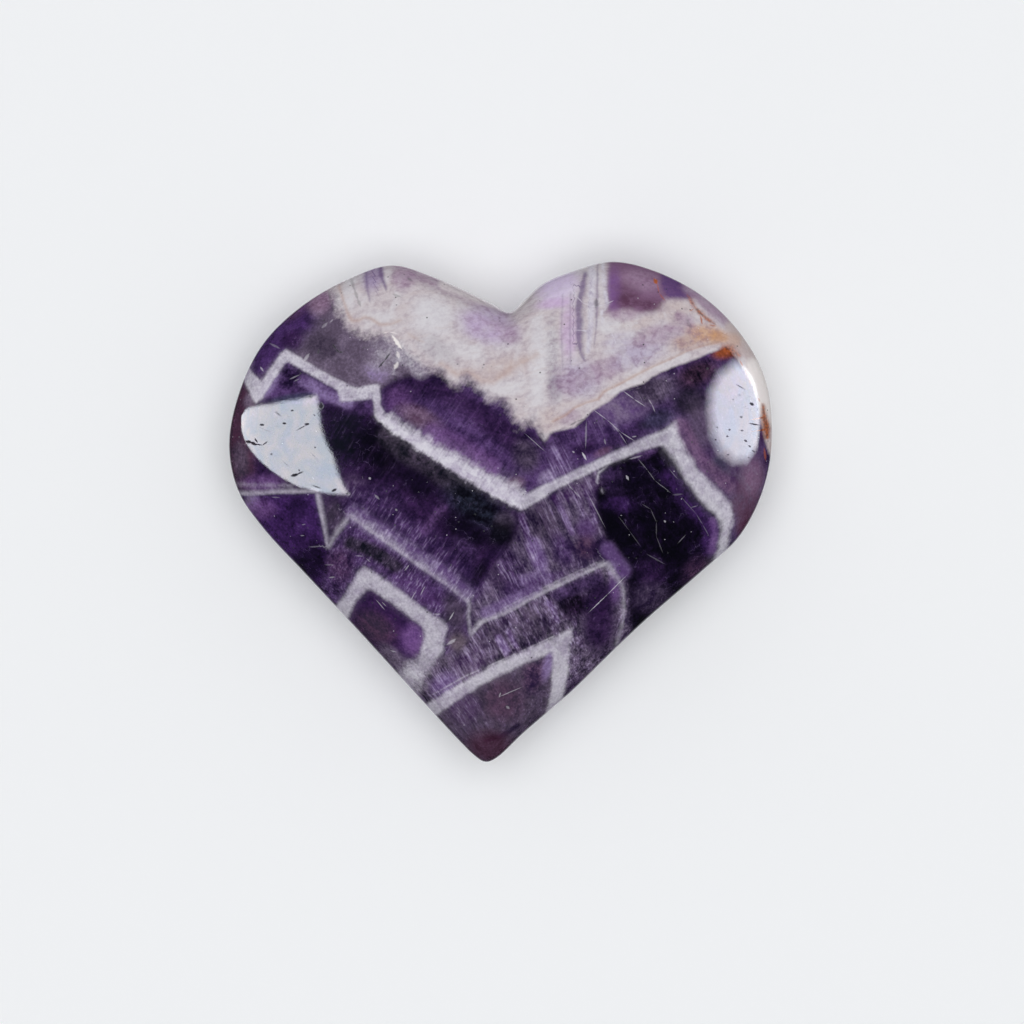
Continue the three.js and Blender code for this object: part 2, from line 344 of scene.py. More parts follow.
# bright scratches and flecks
paleDashes = [
    dash(12.4, -14, 15.1, -11.4, 0.05, 0.8), dash(14.9, -11.6, 17.6, -8.9, 0.05, 0.7),
    *dashes([(13, 14.3), (14.9, 12.9), (16.8, 11.2), (18.8, 9.9)], 0.06, 0.5),
    *dashes([(15.4, 12.5), (16.6, 11.1), (17.6, 9.6)], 0.05, 0.4),
    *dashes([(17.2, 16.9), (18.7, 15.8), (20.2, 14.8)], 0.07, 0.55),
    *dashes([(20.7, 15.8), (21.2, 15), (21.6, 14)], 0.07, 0.45),
    dash(11.45, 8.3, 12, 7.3, 0.13, 0.85), dash(10.1, 8.5, 10.3, 8.3, 0.12, 0.45),
    dash(14.5, 10.2, 14.7, 9.5, 0.12, 0.3), dash(12, 12.6, 11.9, 9, 0.12, 0.25),
    dash(3.4, 11, 6.3, 8.4, 0.05, 0.4), dash(18.4, 10.5, 19, 10.6, 0.1, 0.4),
    dash(-27.5, 21.1, -26.8, 22.1, 0.22, 0.5), dash(-33.6, 20.3, -33.2, 19.7, 0.12, 0.5),
    dash(-32.3, 23.6, -30.9, 22.9, 0.14, 0.2), dash(-25, 25.8, -24.2, 26.5, 0.16, 0.28),
    dash(-23.9, 26.5, -23.4, 27, 0.1, 0.3), dash(-29.5, 18.6, -28.1, 19.2, 0.1, 0.3),
    dash(-28.9, 18.3, -28.2, 18.6, 0.08, 0.25),
    *dashes([(10, 31), (10.6, 30.2), (11.5, 29.3), (12.6, 28.8), (13.6, 28.8), (14.6, 29),
             (15.8, 29.6)], 0.08, 0.6),
    *dashes([(15.5, 25.1), (15.9, 24.3), (16.2, 23.4)], 0.07, 0.6),
    *dashes([(9.4, 3.9), (10.2, 3), (11.2, 2)], 0.1, 0.3), dash(12.1, 2.8, 14.6, -2.1, 0.07, 0.3),
    *dashes([(19.2, 7.5), (20.6, 5.8), (21.6, 4.4), (23.8, 2.7)], 0.06, 0.2),
    dash(24.1, 2.4, 25.5, 2.5, 0.12, 0.12),
    *dashes([(25.2, 2.2), (27.4, -0.3), (28.3, -1.8), (29.2, -3.4)], 0.06, 0.15),
    *dashes([(19.8, 1.1), (21, 0.4), (21.8, -1.4), (21.8, -3.4), (22.7, -5.7)], 0.07, 0.1),
    *dashes([(16.5, -0.6), (18, -2.6), (19.6, -4.8)], 0.06, 0.08),
    # the second dash on the next line is a painted glint: a short highlight painted in milk white
    dash(20.5, -5.9, 23, -7.3, 0.1, 0.1), dash(17.6, 5.1, 17.9, 4.5, 0.14, 0.6),
    dash(23.6, 6, 24.8, 4.6, 0.06, 0.18), dash(18, 7.4, 19.8, 7.9, 0.12, 0.3),
    dash(22.9, -1.2, 23.1, -1.4, 0.12, 0.5), dash(26.6, 0.6, 27.6, 0.9, 0.06, 0.22),
    dash(24.8, -4.4, 25.9, -3.2, 0.06, 0.2), dash(-0.3, -25.9, 3, -24.5, 0.06, 0.45),
    dash(-0.2, -25.9, 0, -25.3, 0.1, 0.4), dash(0.8, -27.2, 1.2, -27.5, 0.16, 0.35),
    dash(-7.2, -15.1, -6.5, -14, 0.09, 0.6), dash(-7.5, -18.6, -6.3, -17.8, 0.2, 0.5),
    dash(-9.4, -14.3, -8.4, -14.3, 0.1, 0.3), dash(-17.4, -12.3, -16.2, -13.7, 0.06, 0.45),
    dash(-16.6, -12.6, -16, -13.2, 0.05, 0.4), dash(-15.4, -19.4, -14.6, -19.6, 0.1, 0.35),
    dash(-20.3, -6.1, -19.2, -6.2, 0.07, 0.25), dash(-18.8, -6.5, -18.2, -7, 0.07, 0.25),
    dash(-24, -9.2, -23.2, -9.1, 0.1, 0.35), dash(-24.6, -7.4, -23.3, -7.4, 0.07, 0.2),
    dash(-26.9, -4.9, -25, -4.8, 0.08, 0.18), dash(-28, -3.3, -27.5, -3.3, 0.08, 0.3),
    dash(-27.8, -1.8, -27.3, -1.7, 0.07, 0.25), dash(-32, 2.1, -30.9, 2, 0.08, 0.2),
    dash(-18.4, 4.8, -18.2, 4.6, 0.14, 0.6), dash(-17.6, 2.4, -17, 1.8, 0.14, 0.3),
    dash(-14.7, 0.4, -14.5, 0.2, 0.14, 0.35), dash(-11.2, -11.6, -10.6, -10.4, 0.07, 0.45),
    dash(-12.6, -12.4, -11.8, -11, 0.07, 0.4), dash(-13.4, -8.2, -12.8, -7.4, 0.09, 0.4),
]
# painted glints: bright highlights on a fracture, painted into the colour in near white
glintDashes = [
    dash(-15.15, 24.7, -13.85, 22.8, 0.24, 0.95),
    *dashes([(-16.5, 25), (-15.6, 25.2), (-14.5, 25)], 0.08, 0.5),
    dash(-14.45, 22.4, -14.25, 21.6, 0.26, 0.55), dash(-14.4, 20.9, -14.8, 20.1, 0.28, 0.6),
]
# dark cracks and pits: the cracks' own dark, and painted shade in the pits and scratches where they
# break the polish's reflection
darkDashes = [
    *dashes([(-23.5, 23.5), (-23, 22.8), (-22.6, 22.35), (-22.1, 22.4)], 0.12, 0.95),
    dash(-25.4, 22.8, -25.6, 22.1, 0.13, 0.75), dash(-19.3, 23, -18.9, 23, 0.09, 0.6),
    dash(-18.8, 22.9, -18.1, 23.2, 0.06, 0.6), dash(-17.7, 23.2, -17.5, 23.1, 0.08, 0.5),
    *dashes([(-15.5, 22.2), (-16.2, 21.2), (-17.1, 20.2)], 0.13, 0.95),
    *dashes([(-21, 32.8), (-20.4, 31), (-20, 29.8), (-19.6, 28.8)], 0.2, 0.4),
    *dashes([(-24, 31), (-23.8, 29.6), (-23.3, 28.2)], 0.16, 0.35),
    dash(-13, 32.7, -12.4, 32.4, 0.2, 0.5), dash(-15.1, 30.5, -14, 30.1, 0.16, 0.4),
    dash(-6.15, 20.7, -5.9, 20.7, 0.1, 0.7), dash(13.4, 29.8, 13.4, 28.6, 0.3, 0.6),
    *dashes([(9.7, 12.1), (10.7, 12.7), (11.7, 13)], 0.12, 0.6),
    dash(10.3, 12, 11.5, 12.5, 0.09, 0.5), dash(8.2, 11.5, 9.4, 11.9, 0.07, 0.35),
    dash(17.5, 17, 18.6, 17.2, 0.14, 0.4), dash(18.8, 17.2, 19.7, 17.4, 0.12, 0.35),
    dash(26, 27.1, 26.7, 25.6, 0.18, 0.35),
    # from here, pits and fine scratches where the soft boxes' mirror images fall, painted near black as
    # painted shade
    *dashes([(-35.6, 9.9), (-34.9, 9.75), (-34.2, 9.4)], 0.2, 1),
    dash(-34.4, 10.3, -34, 9.7, 0.1, 0.9),
    *dashes([(-34.3, 9.5), (-33.3, 9.35), (-32.6, 9.9)], 0.08, 0.95),
    dash(-29.3, 5.05, -28.3, 5.3, 0.2, 1), dash(-28.5, 5.3, -27.6, 5.65, 0.1, 0.95),
    dash(-31.6, 14.1, -30.7, 13.4, 0.06, 0.8), dash(-28.6, 11.4, -27.1, 12.2, 0.06, 0.8),
    dash(-27.4, 12.3, -26.8, 12.3, 0.14, 1), dash(-26.4, 3.75, -25.1, 3.3, 0.07, 0.7),
    dash(-33.7, 12.2, -33.1, 12.2, 0.14, 1), dash(-30.5, 12.4, -30, 12.4, 0.12, 1),
    dash(-29.35, 14.2, -29, 14.2, 0.1, 0.9), dash(-32.2, 8.1, -31.95, 8.1, 0.1, 0.9),
    dash(-23.6, 2.9, -23, 3.2, 0.15, 1), dash(-25.1, 15.2, -25.1, 14.5, 0.3, 0.9),
    dash(-26.9, 16.3, -26.4, 16, 0.1, 0.8), dash(-26.2, 13.6, -25.9, 13.5, 0.07, 0.5),
    dash(-34, 12, -31.4, 10.8, 0.05, 0.35), dash(-30.6, 7.2, -29.4, 6.2, 0.05, 0.35),
    dash(-26.6, 8.4, -25.4, 7, 0.05, 0.3), dash(34.9, 15.2, 35.4, 15, 0.2, 1),
    dash(33.5, 13.3, 33.9, 13.3, 0.12, 0.9), dash(34.8, 12.4, 36.2, 12.15, 0.1, 0.9),
    dash(31.9, 11.5, 32.2, 11.5, 0.1, 0.8), dash(31.6, 10.6, 31.9, 10.6, 0.1, 0.8),
    dash(33.6, 11.4, 33.95, 11.4, 0.1, 0.8), dash(34.1, 10.1, 34.5, 9.8, 0.12, 0.9),
    dash(34.7, 9.3, 35, 9.1, 0.1, 0.9), dash(35.2, 8.6, 35.6, 8.4, 0.1, 0.8),
    dash(31.7, 8, 31.95, 8, 0.1, 0.8), dash(34.6, 7.6, 34.85, 7.6, 0.08, 0.7),
    dash(32.9, 17.9, 34.3, 17.1, 0.06, 0.7), dash(30.2, 11.9, 30.45, 11.8, 0.09, 0.7),
    dash(32.4, 15.8, 32.7, 15.7, 0.07, 0.6), dash(33.3, 16.4, 33.6, 16.3, 0.07, 0.6),
]
# flecks of rust
rustDashes = [
    dash(21.5, 32.6, 21.85, 32, 0.26, 0.9),
    *dashes([(21.9, 32), (22.2, 30.6), (23, 29.6)], 0.1, 0.45),
    dash(28, 27.5, 28.2, 26.3, 0.14, 0.7), dash(27, 28.4, 26.4, 28.1, 0.1, 0.5),
    dash(29.2, 26.2, 30.2, 26, 0.1, 0.5), dash(33.5, 21.2, 33.9, 20.4, 0.12, 0.7),
    dash(34.2, 19.9, 34.6, 19.1, 0.12, 0.45), dash(34.8, 18.5, 35, 17.9, 0.1, 0.3),
    dash(35.4, 17.2, 35.7, 16.6, 0.1, 0.3), dash(36, 16, 36.3, 15.4, 0.12, 0.45),
    dash(36.9, 8.9, 37.1, 7.2, 0.16, 0.5),
]
lineKinds = {"white": whiteBands, "fine": fineBands, "violet": violetLines, "tan": tanLines,
             "rust": rustLines}
dashKinds = {"pale": paleDashes, "glint": glintDashes, "dark": darkDashes, "rust": rustDashes}


# A line's or outline's spots without their widths.
def points(line):
    return [spot[:2] for spot in line]


# The ground's areas, in the order in which they are laid. Each has its dark and pale ink, the
# share of the pale one, how much frosty needles show in it, and which way its fibres run. Its
# shape is an outline (edge), a trail with a reach (along), or an ellipse (spot: its middle, its
# two half widths and its turn in degrees).
def ground(cover, dark, pale, share, frost, fibres=None, blur=0.5, **shape):
    return {"cover": cover, "dark": dark, "pale": pale, "share": share, "frost": frost,
            "fibres": fibres, "blur": blur, **shape}


mainPath = points(mainRim + mainDrop + mainArm + mainRise + mainFall)
tipSeam = [(2.9, 1), (2.6, -2.5), (1, -5), (-1.5, -8.4), (-3.7, -12.3), (-4.4, -13.7)]
# the fields between the bands
sectors = [
    ground(1, "night", "plum", 0.3, 0.1, "left", edge=mainPath + [(-60, -60), (-60, 42)]),
    ground(1, "deep", "haze", 0.3, 0.45, "right",
           edge=tipSeam + points(innerJoin[1:] + innerRise[1:]) + [(17, -10), (14, -30), (22, -60)]
           + points(mainFall[::-1] + mainRise[::-1])),
    ground(1, "black", "deep", 0.22, 0.1, "right", 0.5,
           edge=[(13.7, 6.2), (13.4, 1.7), (14, -2), (15.4, -5.4), (17.6, -8.8), (18.2, -16),
                 (16, -60)] + points(mainFall[::-1]) + [(19.7, 9.4)]),
    ground(1, "night", "royal", 0.5, 0, "none",
           edge=[(-60, 2.4), (-35.1, 2.8), (-25.3, 2.9), (-24.8, -1.1), (-24.1, -5.2), (-26, -14),
                 (-60, -40)]),
    ground(1, "night", "violet", 0.4, 0.4, "left",
           edge=[(-26, -14), (-24.1, -5.2)] + points(innerArm + innerJoin[1:])
           + [(-6, -19), (-9, -25), (-14, -45), (-40, -40)]),
    ground(1, "deep", "plum", 0.5, 0.1, "none",
           edge=points(lowLeft + lowTail) + [(-30, -40), (-40, -30)]),
    ground(1, "night", "haze", 0.36, 0.6, "right",
           edge=points(innerRise + innerFall) + [(9, -60), (3, -36)]
           + points(lowFall[::-1] + lowRise[::-1]) + [(-12, -25), (-9, -20.5), (-6, -19.5)]),
    ground(1, "ash", "smoke", 0.5, 0.35, "right",
           edge=points(lowRise + lowFall) + [(0, -60), (-20, -50)]),
    ground(1, "deep", "violet", 0.55, 0, "none",
           edge=points(mainRim[5:] + mainDrop) + [(-20, 15), (-29, 15), (-33.6, 16.4)]),
    ground(1, "ash", "maroon", 0.45, 0.1, "none", 0.8,
           edge=[(-60, 42)] + points(mainRim[:4]) + [(-34.4, 8), (-34.4, 3), (-60, 3)]),
    ground(1, "smoke", "haze", 0.3, 0, "none", 0.3,
           edge=[(-41, 42)] + points(mainRim[1:])
           + [(-16.6, 17.3), (-15.4, 18), (-13.6, 18.7), (-12, 19), (-8.4, 19.1), (-9, 21),
              (-12, 23.6), (-14, 25), (-20, 27), (-24, 32), (-28, 48)]),
]
# under the main chevron, left of its tip
leftSpots = [
    ground(0.92, "coldBlack", "deep", 0.2, 0.2, spot=(-21.6, 11, 4, 5, 0)),
    ground(0.95, "black", "night", 0.25, 0.2, spot=(-16.4, 9, 5, 4.4, -31)),
    ground(0.7, "night", "violet", 0.5, 0.1, spot=(-19.9, 14.6, 2.2, 1.2, 0)),
    ground(0.9, "coldBlack", "smoke", 0.3, 0.05, reach=1.6,
           along=[(-15.8, 10.6), (-12, 7.4), (-8, 4.8), (-4, 2.4)]),
    ground(0.92, "black", "night", 0.45, 0.1, spot=(-11.6, 4, 3.8, 2.2, -31)),
    ground(0.95, "black", "slate", 0.12, 0.05, spot=(-3.4, 0.6, 5.4, 2.6, -31)),
    ground(0.95, "black", "night", 0.35, 0.1, spot=(-5, -2.6, 4.4, 2, -31)),
    ground(0.7, "ash", "haze", 0.2, 0.1, spot=(0.6, -1.4, 1.6, 1.6, 0)),
    ground(0.95, "black", "coldBlack", 0.3, 0.1, spot=(0, -3.2, 2.2, 2.2, -25)),
    ground(0.6, "plum", "haze", 0.4, 0.3, spot=(-20.6, 3, 2.4, 2.2, -20)),
    ground(0.5, "night", "violet", 0.4, 0.4, spot=(-15.9, 2.3, 2.8, 1.6, -30)),
    ground(0.8, "deep", "violet", 0.3, 0.5, reach=2.6,
           along=[(-19.6, 1.4), (-15, -1.8), (-11, -4.6), (-7, -7.6), (-4.4, -10.4)]),
    ground(0.8, "violet", "frost", 0.18, 0.6, reach=1.3,
           along=[(-20.6, -0.2), (-16.4, -3), (-12.6, -5.6), (-8.4, -8.4), (-5, -11.4)]),
    ground(0.6, "night", "orchid", 0.4, 0.3, reach=0.8,
           along=[(-8.2, 0.6), (-9.4, -1), (-10.6, -2.6)]),
    ground(0.7, "night", "violet", 0.2, 0.4, spot=(-5.4, -5.4, 2.6, 1.6, -31)),
    ground(0.8, "black", "deep", 0.3, 0.2, spot=(-3, -8.4, 1, 2.2, -25)),
    ground(0.8, "ash", "smoke", 0.45, 0.4, spot=(-23.2, -0.6, 1.2, 2.6, 5)),
]
# right of the tip's seam, and the dark block
rightSpots = [
    ground(0.9, "night", "smoke", 0.34, 0.4, spot=(6, -1.2, 3, 3.4, 22)),
    ground(0.85, "night", "violet", 0.2, 0.6, spot=(1.4, -8, 1.8, 3.6, 22)),
    ground(0.8, "deep", "violet", 0.25, 0.3, spot=(1.6, -11, 1.8, 1.4, 22)),
    ground(0.7, "night", "plum", 0.4, 0.3, spot=(-0.6, -9.2, 1.1, 2, 22)),
    ground(0.9, "deep", "violet", 0.35, 0.35, spot=(8.8, -5.4, 1.5, 2.8, 22)),
    ground(0.85, "plum", "violet", 0.4, 0.2, spot=(12, -2.4, 1.7, 1.8, 20)),
    ground(0.9, "deep", "wine", 0.35, 0.15, spot=(12, -5, 1.9, 2, 20)),
    ground(0.9, "night", "plum", 0.2, 0.1, spot=(13.9, -5.4, 1.3, 2, 20)),
    ground(0.75, "plum", "haze", 0.25, 0.6, spot=(11, 3, 3.4, 1.2, 25)),
    ground(0.7, "plum", "lilac", 0.4, 0.8, reach=0.5, along=[(2.9, -0.6), (3.8, -3.4)]),
    ground(0.85, "violet", "lilac", 0.55, 0.9, reach=1.2, along=[(4.6, -4.6), (5.6, -7.2)]),
    ground(0.6, "violet", "lilac", 0.5, 0.7, reach=1,
           along=[(3.4, -9.6), (5.8, -8.8), (6.6, -9.2)]),
    ground(0.7, "plum", "lilac", 0.4, 0.75, reach=0.5, along=[(7.6, 2.1), (9, -0.8), (9.9, -2.8)]),
    ground(0.7, "plum", "frost", 0.35, 0.9, reach=0.4, along=[(10.4, 2.3), (11.5, -0.4)]),
    ground(0.6, "plum", "lilac", 0.4, 0.7, reach=0.4, along=[(12, 2.9), (12.8, 0.6), (13.3, -1.4)]),
    ground(0.75, "violet", "lilac", 0.4, 0.4, reach=1, along=[(-2, -14.2), (1, -12.8), (5, -10.8)]),
    ground(0.6, "plum", "lilac", 0.3, 0.3, reach=0.7, along=[(5, -10.2), (8.4, -8.8)]),
    ground(0.7, "night", "violet", 0.45, 0.2, spot=(15.8, 4.4, 2, 2.2, 25)),
    ground(0.8, "deep", "orchid", 0.5, 0.1, spot=(20.2, 8.2, 2.2, 0.9, 25)),
    ground(0.9, "black", "night", 0.25, 0, spot=(18.4, 4.4, 2.4, 1.6, 25)),
    ground(0.7, "night", "royal", 0.45, 0.1, spot=(16.4, 1, 2.6, 1.4, 0)),
    ground(0.95, "black", "black", 0.3, 0, spot=(15.6, -1.9, 1.2, 2.4, 20)),
    ground(0.95, "black", "night", 0.25, 0, spot=(17.4, -4.4, 1.8, 2.4, 30)),
    ground(0.95, "black", "night", 0.2, 0, spot=(20.4, -1.4, 1.6, 2.2, 25)),
    ground(0.9, "black", "deep", 0.25, 0, spot=(24.4, -4.6, 2.4, 2.4, 25)),
    ground(0.8, "night", "royal", 0.4, 0.1, reach=1.4,
           along=[(23.8, 5), (25.6, 2.4), (27.6, 0), (29.4, -2), (29.6, -5.4)]),
    ground(0.8, "royal", "orchid", 0.4, 0.1, reach=0.6,
           along=[(29.8, -1.2), (30, -3), (29.6, -5.4)]),
    ground(0.8, "night", "plum", 0.4, 0.2, spot=(21, -8.6, 2.2, 2.4, 0)),
    ground(0.7, "deep", "smoke", 0.4, 0.3, spot=(20.9, -12, 3, 2.4, 0)),
    ground(0.8, "deep", "wine", 0.45, 0.2, spot=(28, -9.2, 2.6, 3, 0)),
    ground(0.8, "violet", "lilac", 0.2, 0.1, reach=1.2,
           along=[(15, -5.2), (16.2, -6.9), (17.2, -8.2)]),
]
# between the chevron and the pale zone
upperSpots = [
    ground(0.85, "night", "plum", 0.35, 0.15, reach=2,
           along=[(-14.6, 17.2), (-12, 17.8), (-9, 17.4), (-6, 15.4), (-3, 13.6), (0, 11.6),
                  (2, 10)]),
    ground(0.75, "plum", "orchid", 0.55, 0.1, spot=(-14.3, 15.4, 2.2, 2.2, 0)),
    ground(0.65, "wine", "rose", 0.3, 0.1, spot=(-11.2, 13.2, 3.6, 1.6, -25)),
    ground(0.5, "deep", "violet", 0.5, 0.3, spot=(-7, 13.4, 3.6, 2.2, -30)),
    ground(0.9, "plum", "orchid", 0.6, 0.1, reach=1.8, along=[(-9.6, 11), (-5, 8.4), (-1.6, 6.2)]),
    ground(0.9, "night", "smoke", 0.4, 0.1, spot=(3.6, 8, 2.2, 2.8, 10)),
    ground(0.6, "wine", "mauve", 0.4, 0.1, spot=(2, 4, 1.6, 1, 20)),
    ground(0.75, "plum", "lilac", 0.35, 0.7, spot=(8.4, 7, 1.7, 3, 22)),
    ground(0.7, "violet", "frost", 0.4, 0.8, spot=(6.8, 4.8, 1.6, 1.2, 22)),
    ground(0.9, "night", "plum", 0.3, 0.1, spot=(11.8, 8.9, 1.8, 1.2, 25)),
    ground(0.7, "ash", "violet", 0.4, 0.2, spot=(6.4, 10.2, 1.8, 1.2, 20)),
    ground(0.75, "night", "violet", 0.4, 0.3, spot=(11.4, 11, 2.4, 1.6, 25)),
    ground(0.92, "violet", "haze", 0.5, 0.3, spot=(17, 14.4, 4.6, 2, 14)),
    ground(0.7, "violet", "frost", 0.5, 0.5, spot=(16, 12, 0.5, 0.8, 35)),
    ground(0.7, "night", "ash", 0.5, 0, spot=(19.8, 12, 1, 0.7, 0)),
    ground(0.8, "night", "violet", 0.32, 0.2, spot=(16.8, 10, 3.2, 1.4, 25)),
    ground(0.6, "wine", "mauve", 0.45, 0.2, spot=(14.3, 8.4, 1.4, 0.6, 25)),
    ground(0.85, "ash", "haze", 0.34, 0.2, spot=(21.4, 17, 4, 2.2, 22)),
    ground(0.9, "coldBlack", "ash", 0.4, 0.1, spot=(26.4, 15.6, 3, 2.6, 22)),
    ground(0.9, "black", "wine", 0.4, 0.1, spot=(27.6, 19.4, 3.4, 1.8, 22)),
    ground(0.9, "deepRust", "rust", 0.35, 0, spot=(31.4, 22.3, 1.9, 0.9, 10)),
    ground(0.7, "coldBlack", "slate", 0.45, 0.2, spot=(22, 13, 2.6, 1.6, 22)),
    ground(0.8, "ash", "smoke", 0.8, 0.2, spot=(28, 12, 2.2, 4, 10)),
    ground(0.9, "plum", "smoke", 0.5, 0.1, spot=(33, 8, 4, 7, 0)),
    ground(0.8, "ash", "slate", 0.5, 0.2, spot=(30.4, 6.4, 1.6, 1.6, 0)),
    ground(0.9, "wine", "smoke", 0.35, 0.2, spot=(34.4, 1.6, 2.4, 4.4, -5)),
    ground(0.85, "maroon", "wine", 0.4, 0, spot=(34, -1.6, 1, 2.2, -20)),
    ground(0.65, "plum", "mauve", 0.6, 0.1, reach=1.3,
           along=[(25.2, 12), (27, 8.6), (29.4, 5.8), (31.8, 3.6)]),
    ground(0.7, "mauve", "haze", 0.3, 0.1, spot=(35.4, 5, 1.8, 3, 0)),
]
# the upper left, the far left and the foot of the left lobe
lobeSpots = [
    ground(0.95, "deep", "royal", 0.6, 0, reach=3.4,
           along=[(-35, 21), (-32.4, 23.4), (-30, 25.8), (-28.6, 27)]),
    ground(0.85, "night", "plum", 0.4, 0, spot=(-29, 24, 1.8, 1.6, 0)),
    ground(0.85, "wine", "orchid", 0.4, 0, spot=(-28.9, 29.4, 3.8, 2, 38)),
    ground(0.85, "mauve", "rose", 0.45, 0, spot=(-25.2, 29.8, 1.8, 2.4, -20)),
    ground(0.9, "smoke", "haze", 0.3, 0, spot=(-20.8, 23, 4.2, 2.6, -15)),
    ground(0.85, "ash", "smoke", 0.4, 0, spot=(-25, 23.2, 3, 2.2, -20)),
    ground(0.8, "haze", "lilac", 0.6, 0.1, spot=(-17.4, 19.6, 2.4, 1.5, -20)),
    ground(0.7, "haze", "glass", 0.25, 0.1, spot=(-16.8, 22, 2.4, 2.4, 0)),
    ground(0.85, "haze", "glass", 0.35, 0.1, reach=1.4,
           along=[(-15.2, 24), (-13, 21.6), (-11.2, 20)]),
    ground(0.7, "violet", "frost", 0.4, 0.5, spot=(-36.2, 20.6, 1.6, 2, 0)),
    ground(0.92, "night", "violet", 0.15, 0, spot=(-28.7, 18.6, 3.4, 1.8, -20)),
    ground(0.8, "violet", "lilac", 0.55, 0, spot=(-32.4, 17.8, 1, 2.6, -36)),
    ground(0.8, "deep", "slate", 0.7, 0, spot=(-29, 16, 4.2, 0.7, 9)),
    ground(0.8, "violet", "lilac", 0.6, 0, reach=0.9,
           along=[(-27.6, 18.4), (-24, 16.2), (-21.4, 15.2)]),
    ground(0.8, "plum", "orchid", 0.6, 0, spot=(-33.5, 4, 3.4, 1.4, 0)),
    ground(0.5, "ash", "haze", 0.25, 0, spot=(-36.4, 7.4, 1.2, 2.6, 0)),
    ground(0.8, "haze", "lilac", 0.6, 0, spot=(-34.8, 1, 1.2, 1.6, 0)),
    ground(0.7, "smoke", "haze", 0.5, 0, spot=(-35.2, 15.6, 0.8, 1.2, -10)),
    ground(0.8, "plum", "orchid", 0.5, 0, spot=(-33.6, 0.4, 2.4, 1.6, 0)),
    ground(0.6, "night", "deep", 0.4, 0, spot=(-28.2, 0.6, 1.8, 2, 0)),
    ground(0.7, "deep", "royal", 0.5, 0, spot=(-26.4, -2, 1, 3.2, 8)),
    ground(0.9, "black", "deep", 0.35, 0, spot=(-27, -7.4, 3, 4, -30)),
]
# the lower bands and the tip
lowSpots = [
    ground(0.9, "coldBlack", "smoke", 0.15, 0.25, reach=1.1,
           along=[(-21, -4.4), (-18, -5.4), (-14.6, -7.6)]),
    ground(0.6, "deep", "wine", 0.45, 0.4, spot=(-22.4, -7.4, 2, 2.6, 0)),
    ground(0.85, "plum", "violet", 0.42, 0.65, spot=(-11.6, -11.2, 4, 1.8, -33)),
    ground(0.9, "ash", "smoke", 0.45, 0.2, spot=(-6.4, -14, 1.8, 3, 15)),
    ground(0.85, "ash", "dust", 0.65, 0.2, spot=(-6, -18.2, 1.6, 1.8, 15)),
    ground(0.8, "ash", "wine", 0.35, 0.1, spot=(-17.6, -16.2, 3.4, 2.2, -38)),
    ground(0.9, "royal", "orchid", 0.6, 0, spot=(-12.3, -17.8, 1.9, 2.4, 0)),
    ground(0.85, "ash", "haze", 0.5, 0, spot=(-15.2, -20.2, 2.6, 1.2, -42)),
    ground(0.85, "smoke", "milk", 0.42, 0.3, spot=(-11.6, -23.4, 1.6, 2.4, 30)),
    ground(0.8, "ash", "haze", 0.35, 0.4, reach=0.9,
           along=[(-6.6, -20.3), (-8.6, -21), (-10, -22.4), (-10.4, -24.8)]),
    ground(0.8, "violet", "lilac", 0.4, 0.6, spot=(-7.8, -24, 2.4, 1.6, 28)),
    ground(0.7, "plum", "haze", 0.45, 0.7, spot=(-4, -20.8, 2.6, 2, 25)),
    ground(0.8, "night", "smoke", 0.3, 0.3, spot=(-0.6, -17.4, 3, 1.8, 25)),
    ground(0.8, "violet", "lilac", 0.5, 0.9, reach=0.6, along=[(-0.2, -17.8), (0.8, -19.4)]),
    ground(0.7, "plum", "lilac", 0.45, 0.8, reach=0.4, along=[(1, -16.6), (2.2, -18.8)]),
    ground(0.85, "night", "smoke", 0.35, 0.35, spot=(5.2, -16.2, 2.6, 2.4, 25)),
    ground(0.7, "smoke", "haze", 0.45, 0.5, spot=(4.4, -14.2, 1.2, 1.2, 25)),
    ground(0.7, "plum", "lilac", 0.45, 0.8, reach=0.4, along=[(6.8, -12.6), (8, -15.2)]),
    ground(0.95, "black", "plum", 0.25, 0.2, spot=(10.4, -13, 2.6, 2, 25)),
    ground(0.95, "night", "plum", 0.3, 0.03, spot=(14, -12.2, 2.4, 3.2, 5)),
    ground(0.85, "night", "violet", 0.35, 0.1, reach=1.1,
           along=[(8, -11.6), (11, -10.3), (13.4, -9.4)]),
    ground(0.95, "night", "plum", 0.35, 0.02, spot=(13.8, -16, 2.8, 4.4, 0)),
    ground(0.7, "royal", "orchid", 0.4, 0.05, spot=(16, -10.6, 0.9, 2.4, 5)),
    ground(0.85, "ash", "wine", 0.5, 0.2, spot=(0.4, -26.4, 3.2, 3.2, 20)),
    ground(0.8, "night", "deep", 0.4, 0, reach=0.4, along=[(-2, -32), (0.4, -31.2), (2.4, -29.9)]),
    ground(0.85, "deep", "mauve", 0.2, 0.1, spot=(4.6, -22.8, 1.6, 3, -14)),
    ground(0.8, "violet", "lilac", 0.6, 0.1, spot=(6.6, -21.4, 0.8, 2.6, -14)),
    ground(0.8, "plum", "smoke", 0.5, 0.5, spot=(-5.2, -27.4, 2.4, 2.4, 0)),
    ground(0.7, "garnet", "maroon", 0.4, 0, spot=(-1.6, -32.8, 3.8, 2.6, 0)),
    ground(0.8, "night", "plum", 0.45, 0.2, spot=(10.6, -25, 3.4, 1.6, 42)),
]


# The pale zone's areas: their tint, how strongly darker grains mottle it, and white puffs.
def pale(cover, tint, mottle, puffs=1, blur=0.4, **shape):
    return {"cover": cover, "tint": tint, "mottle": mottle, "puffs": puffs, "blur": blur, **shape}


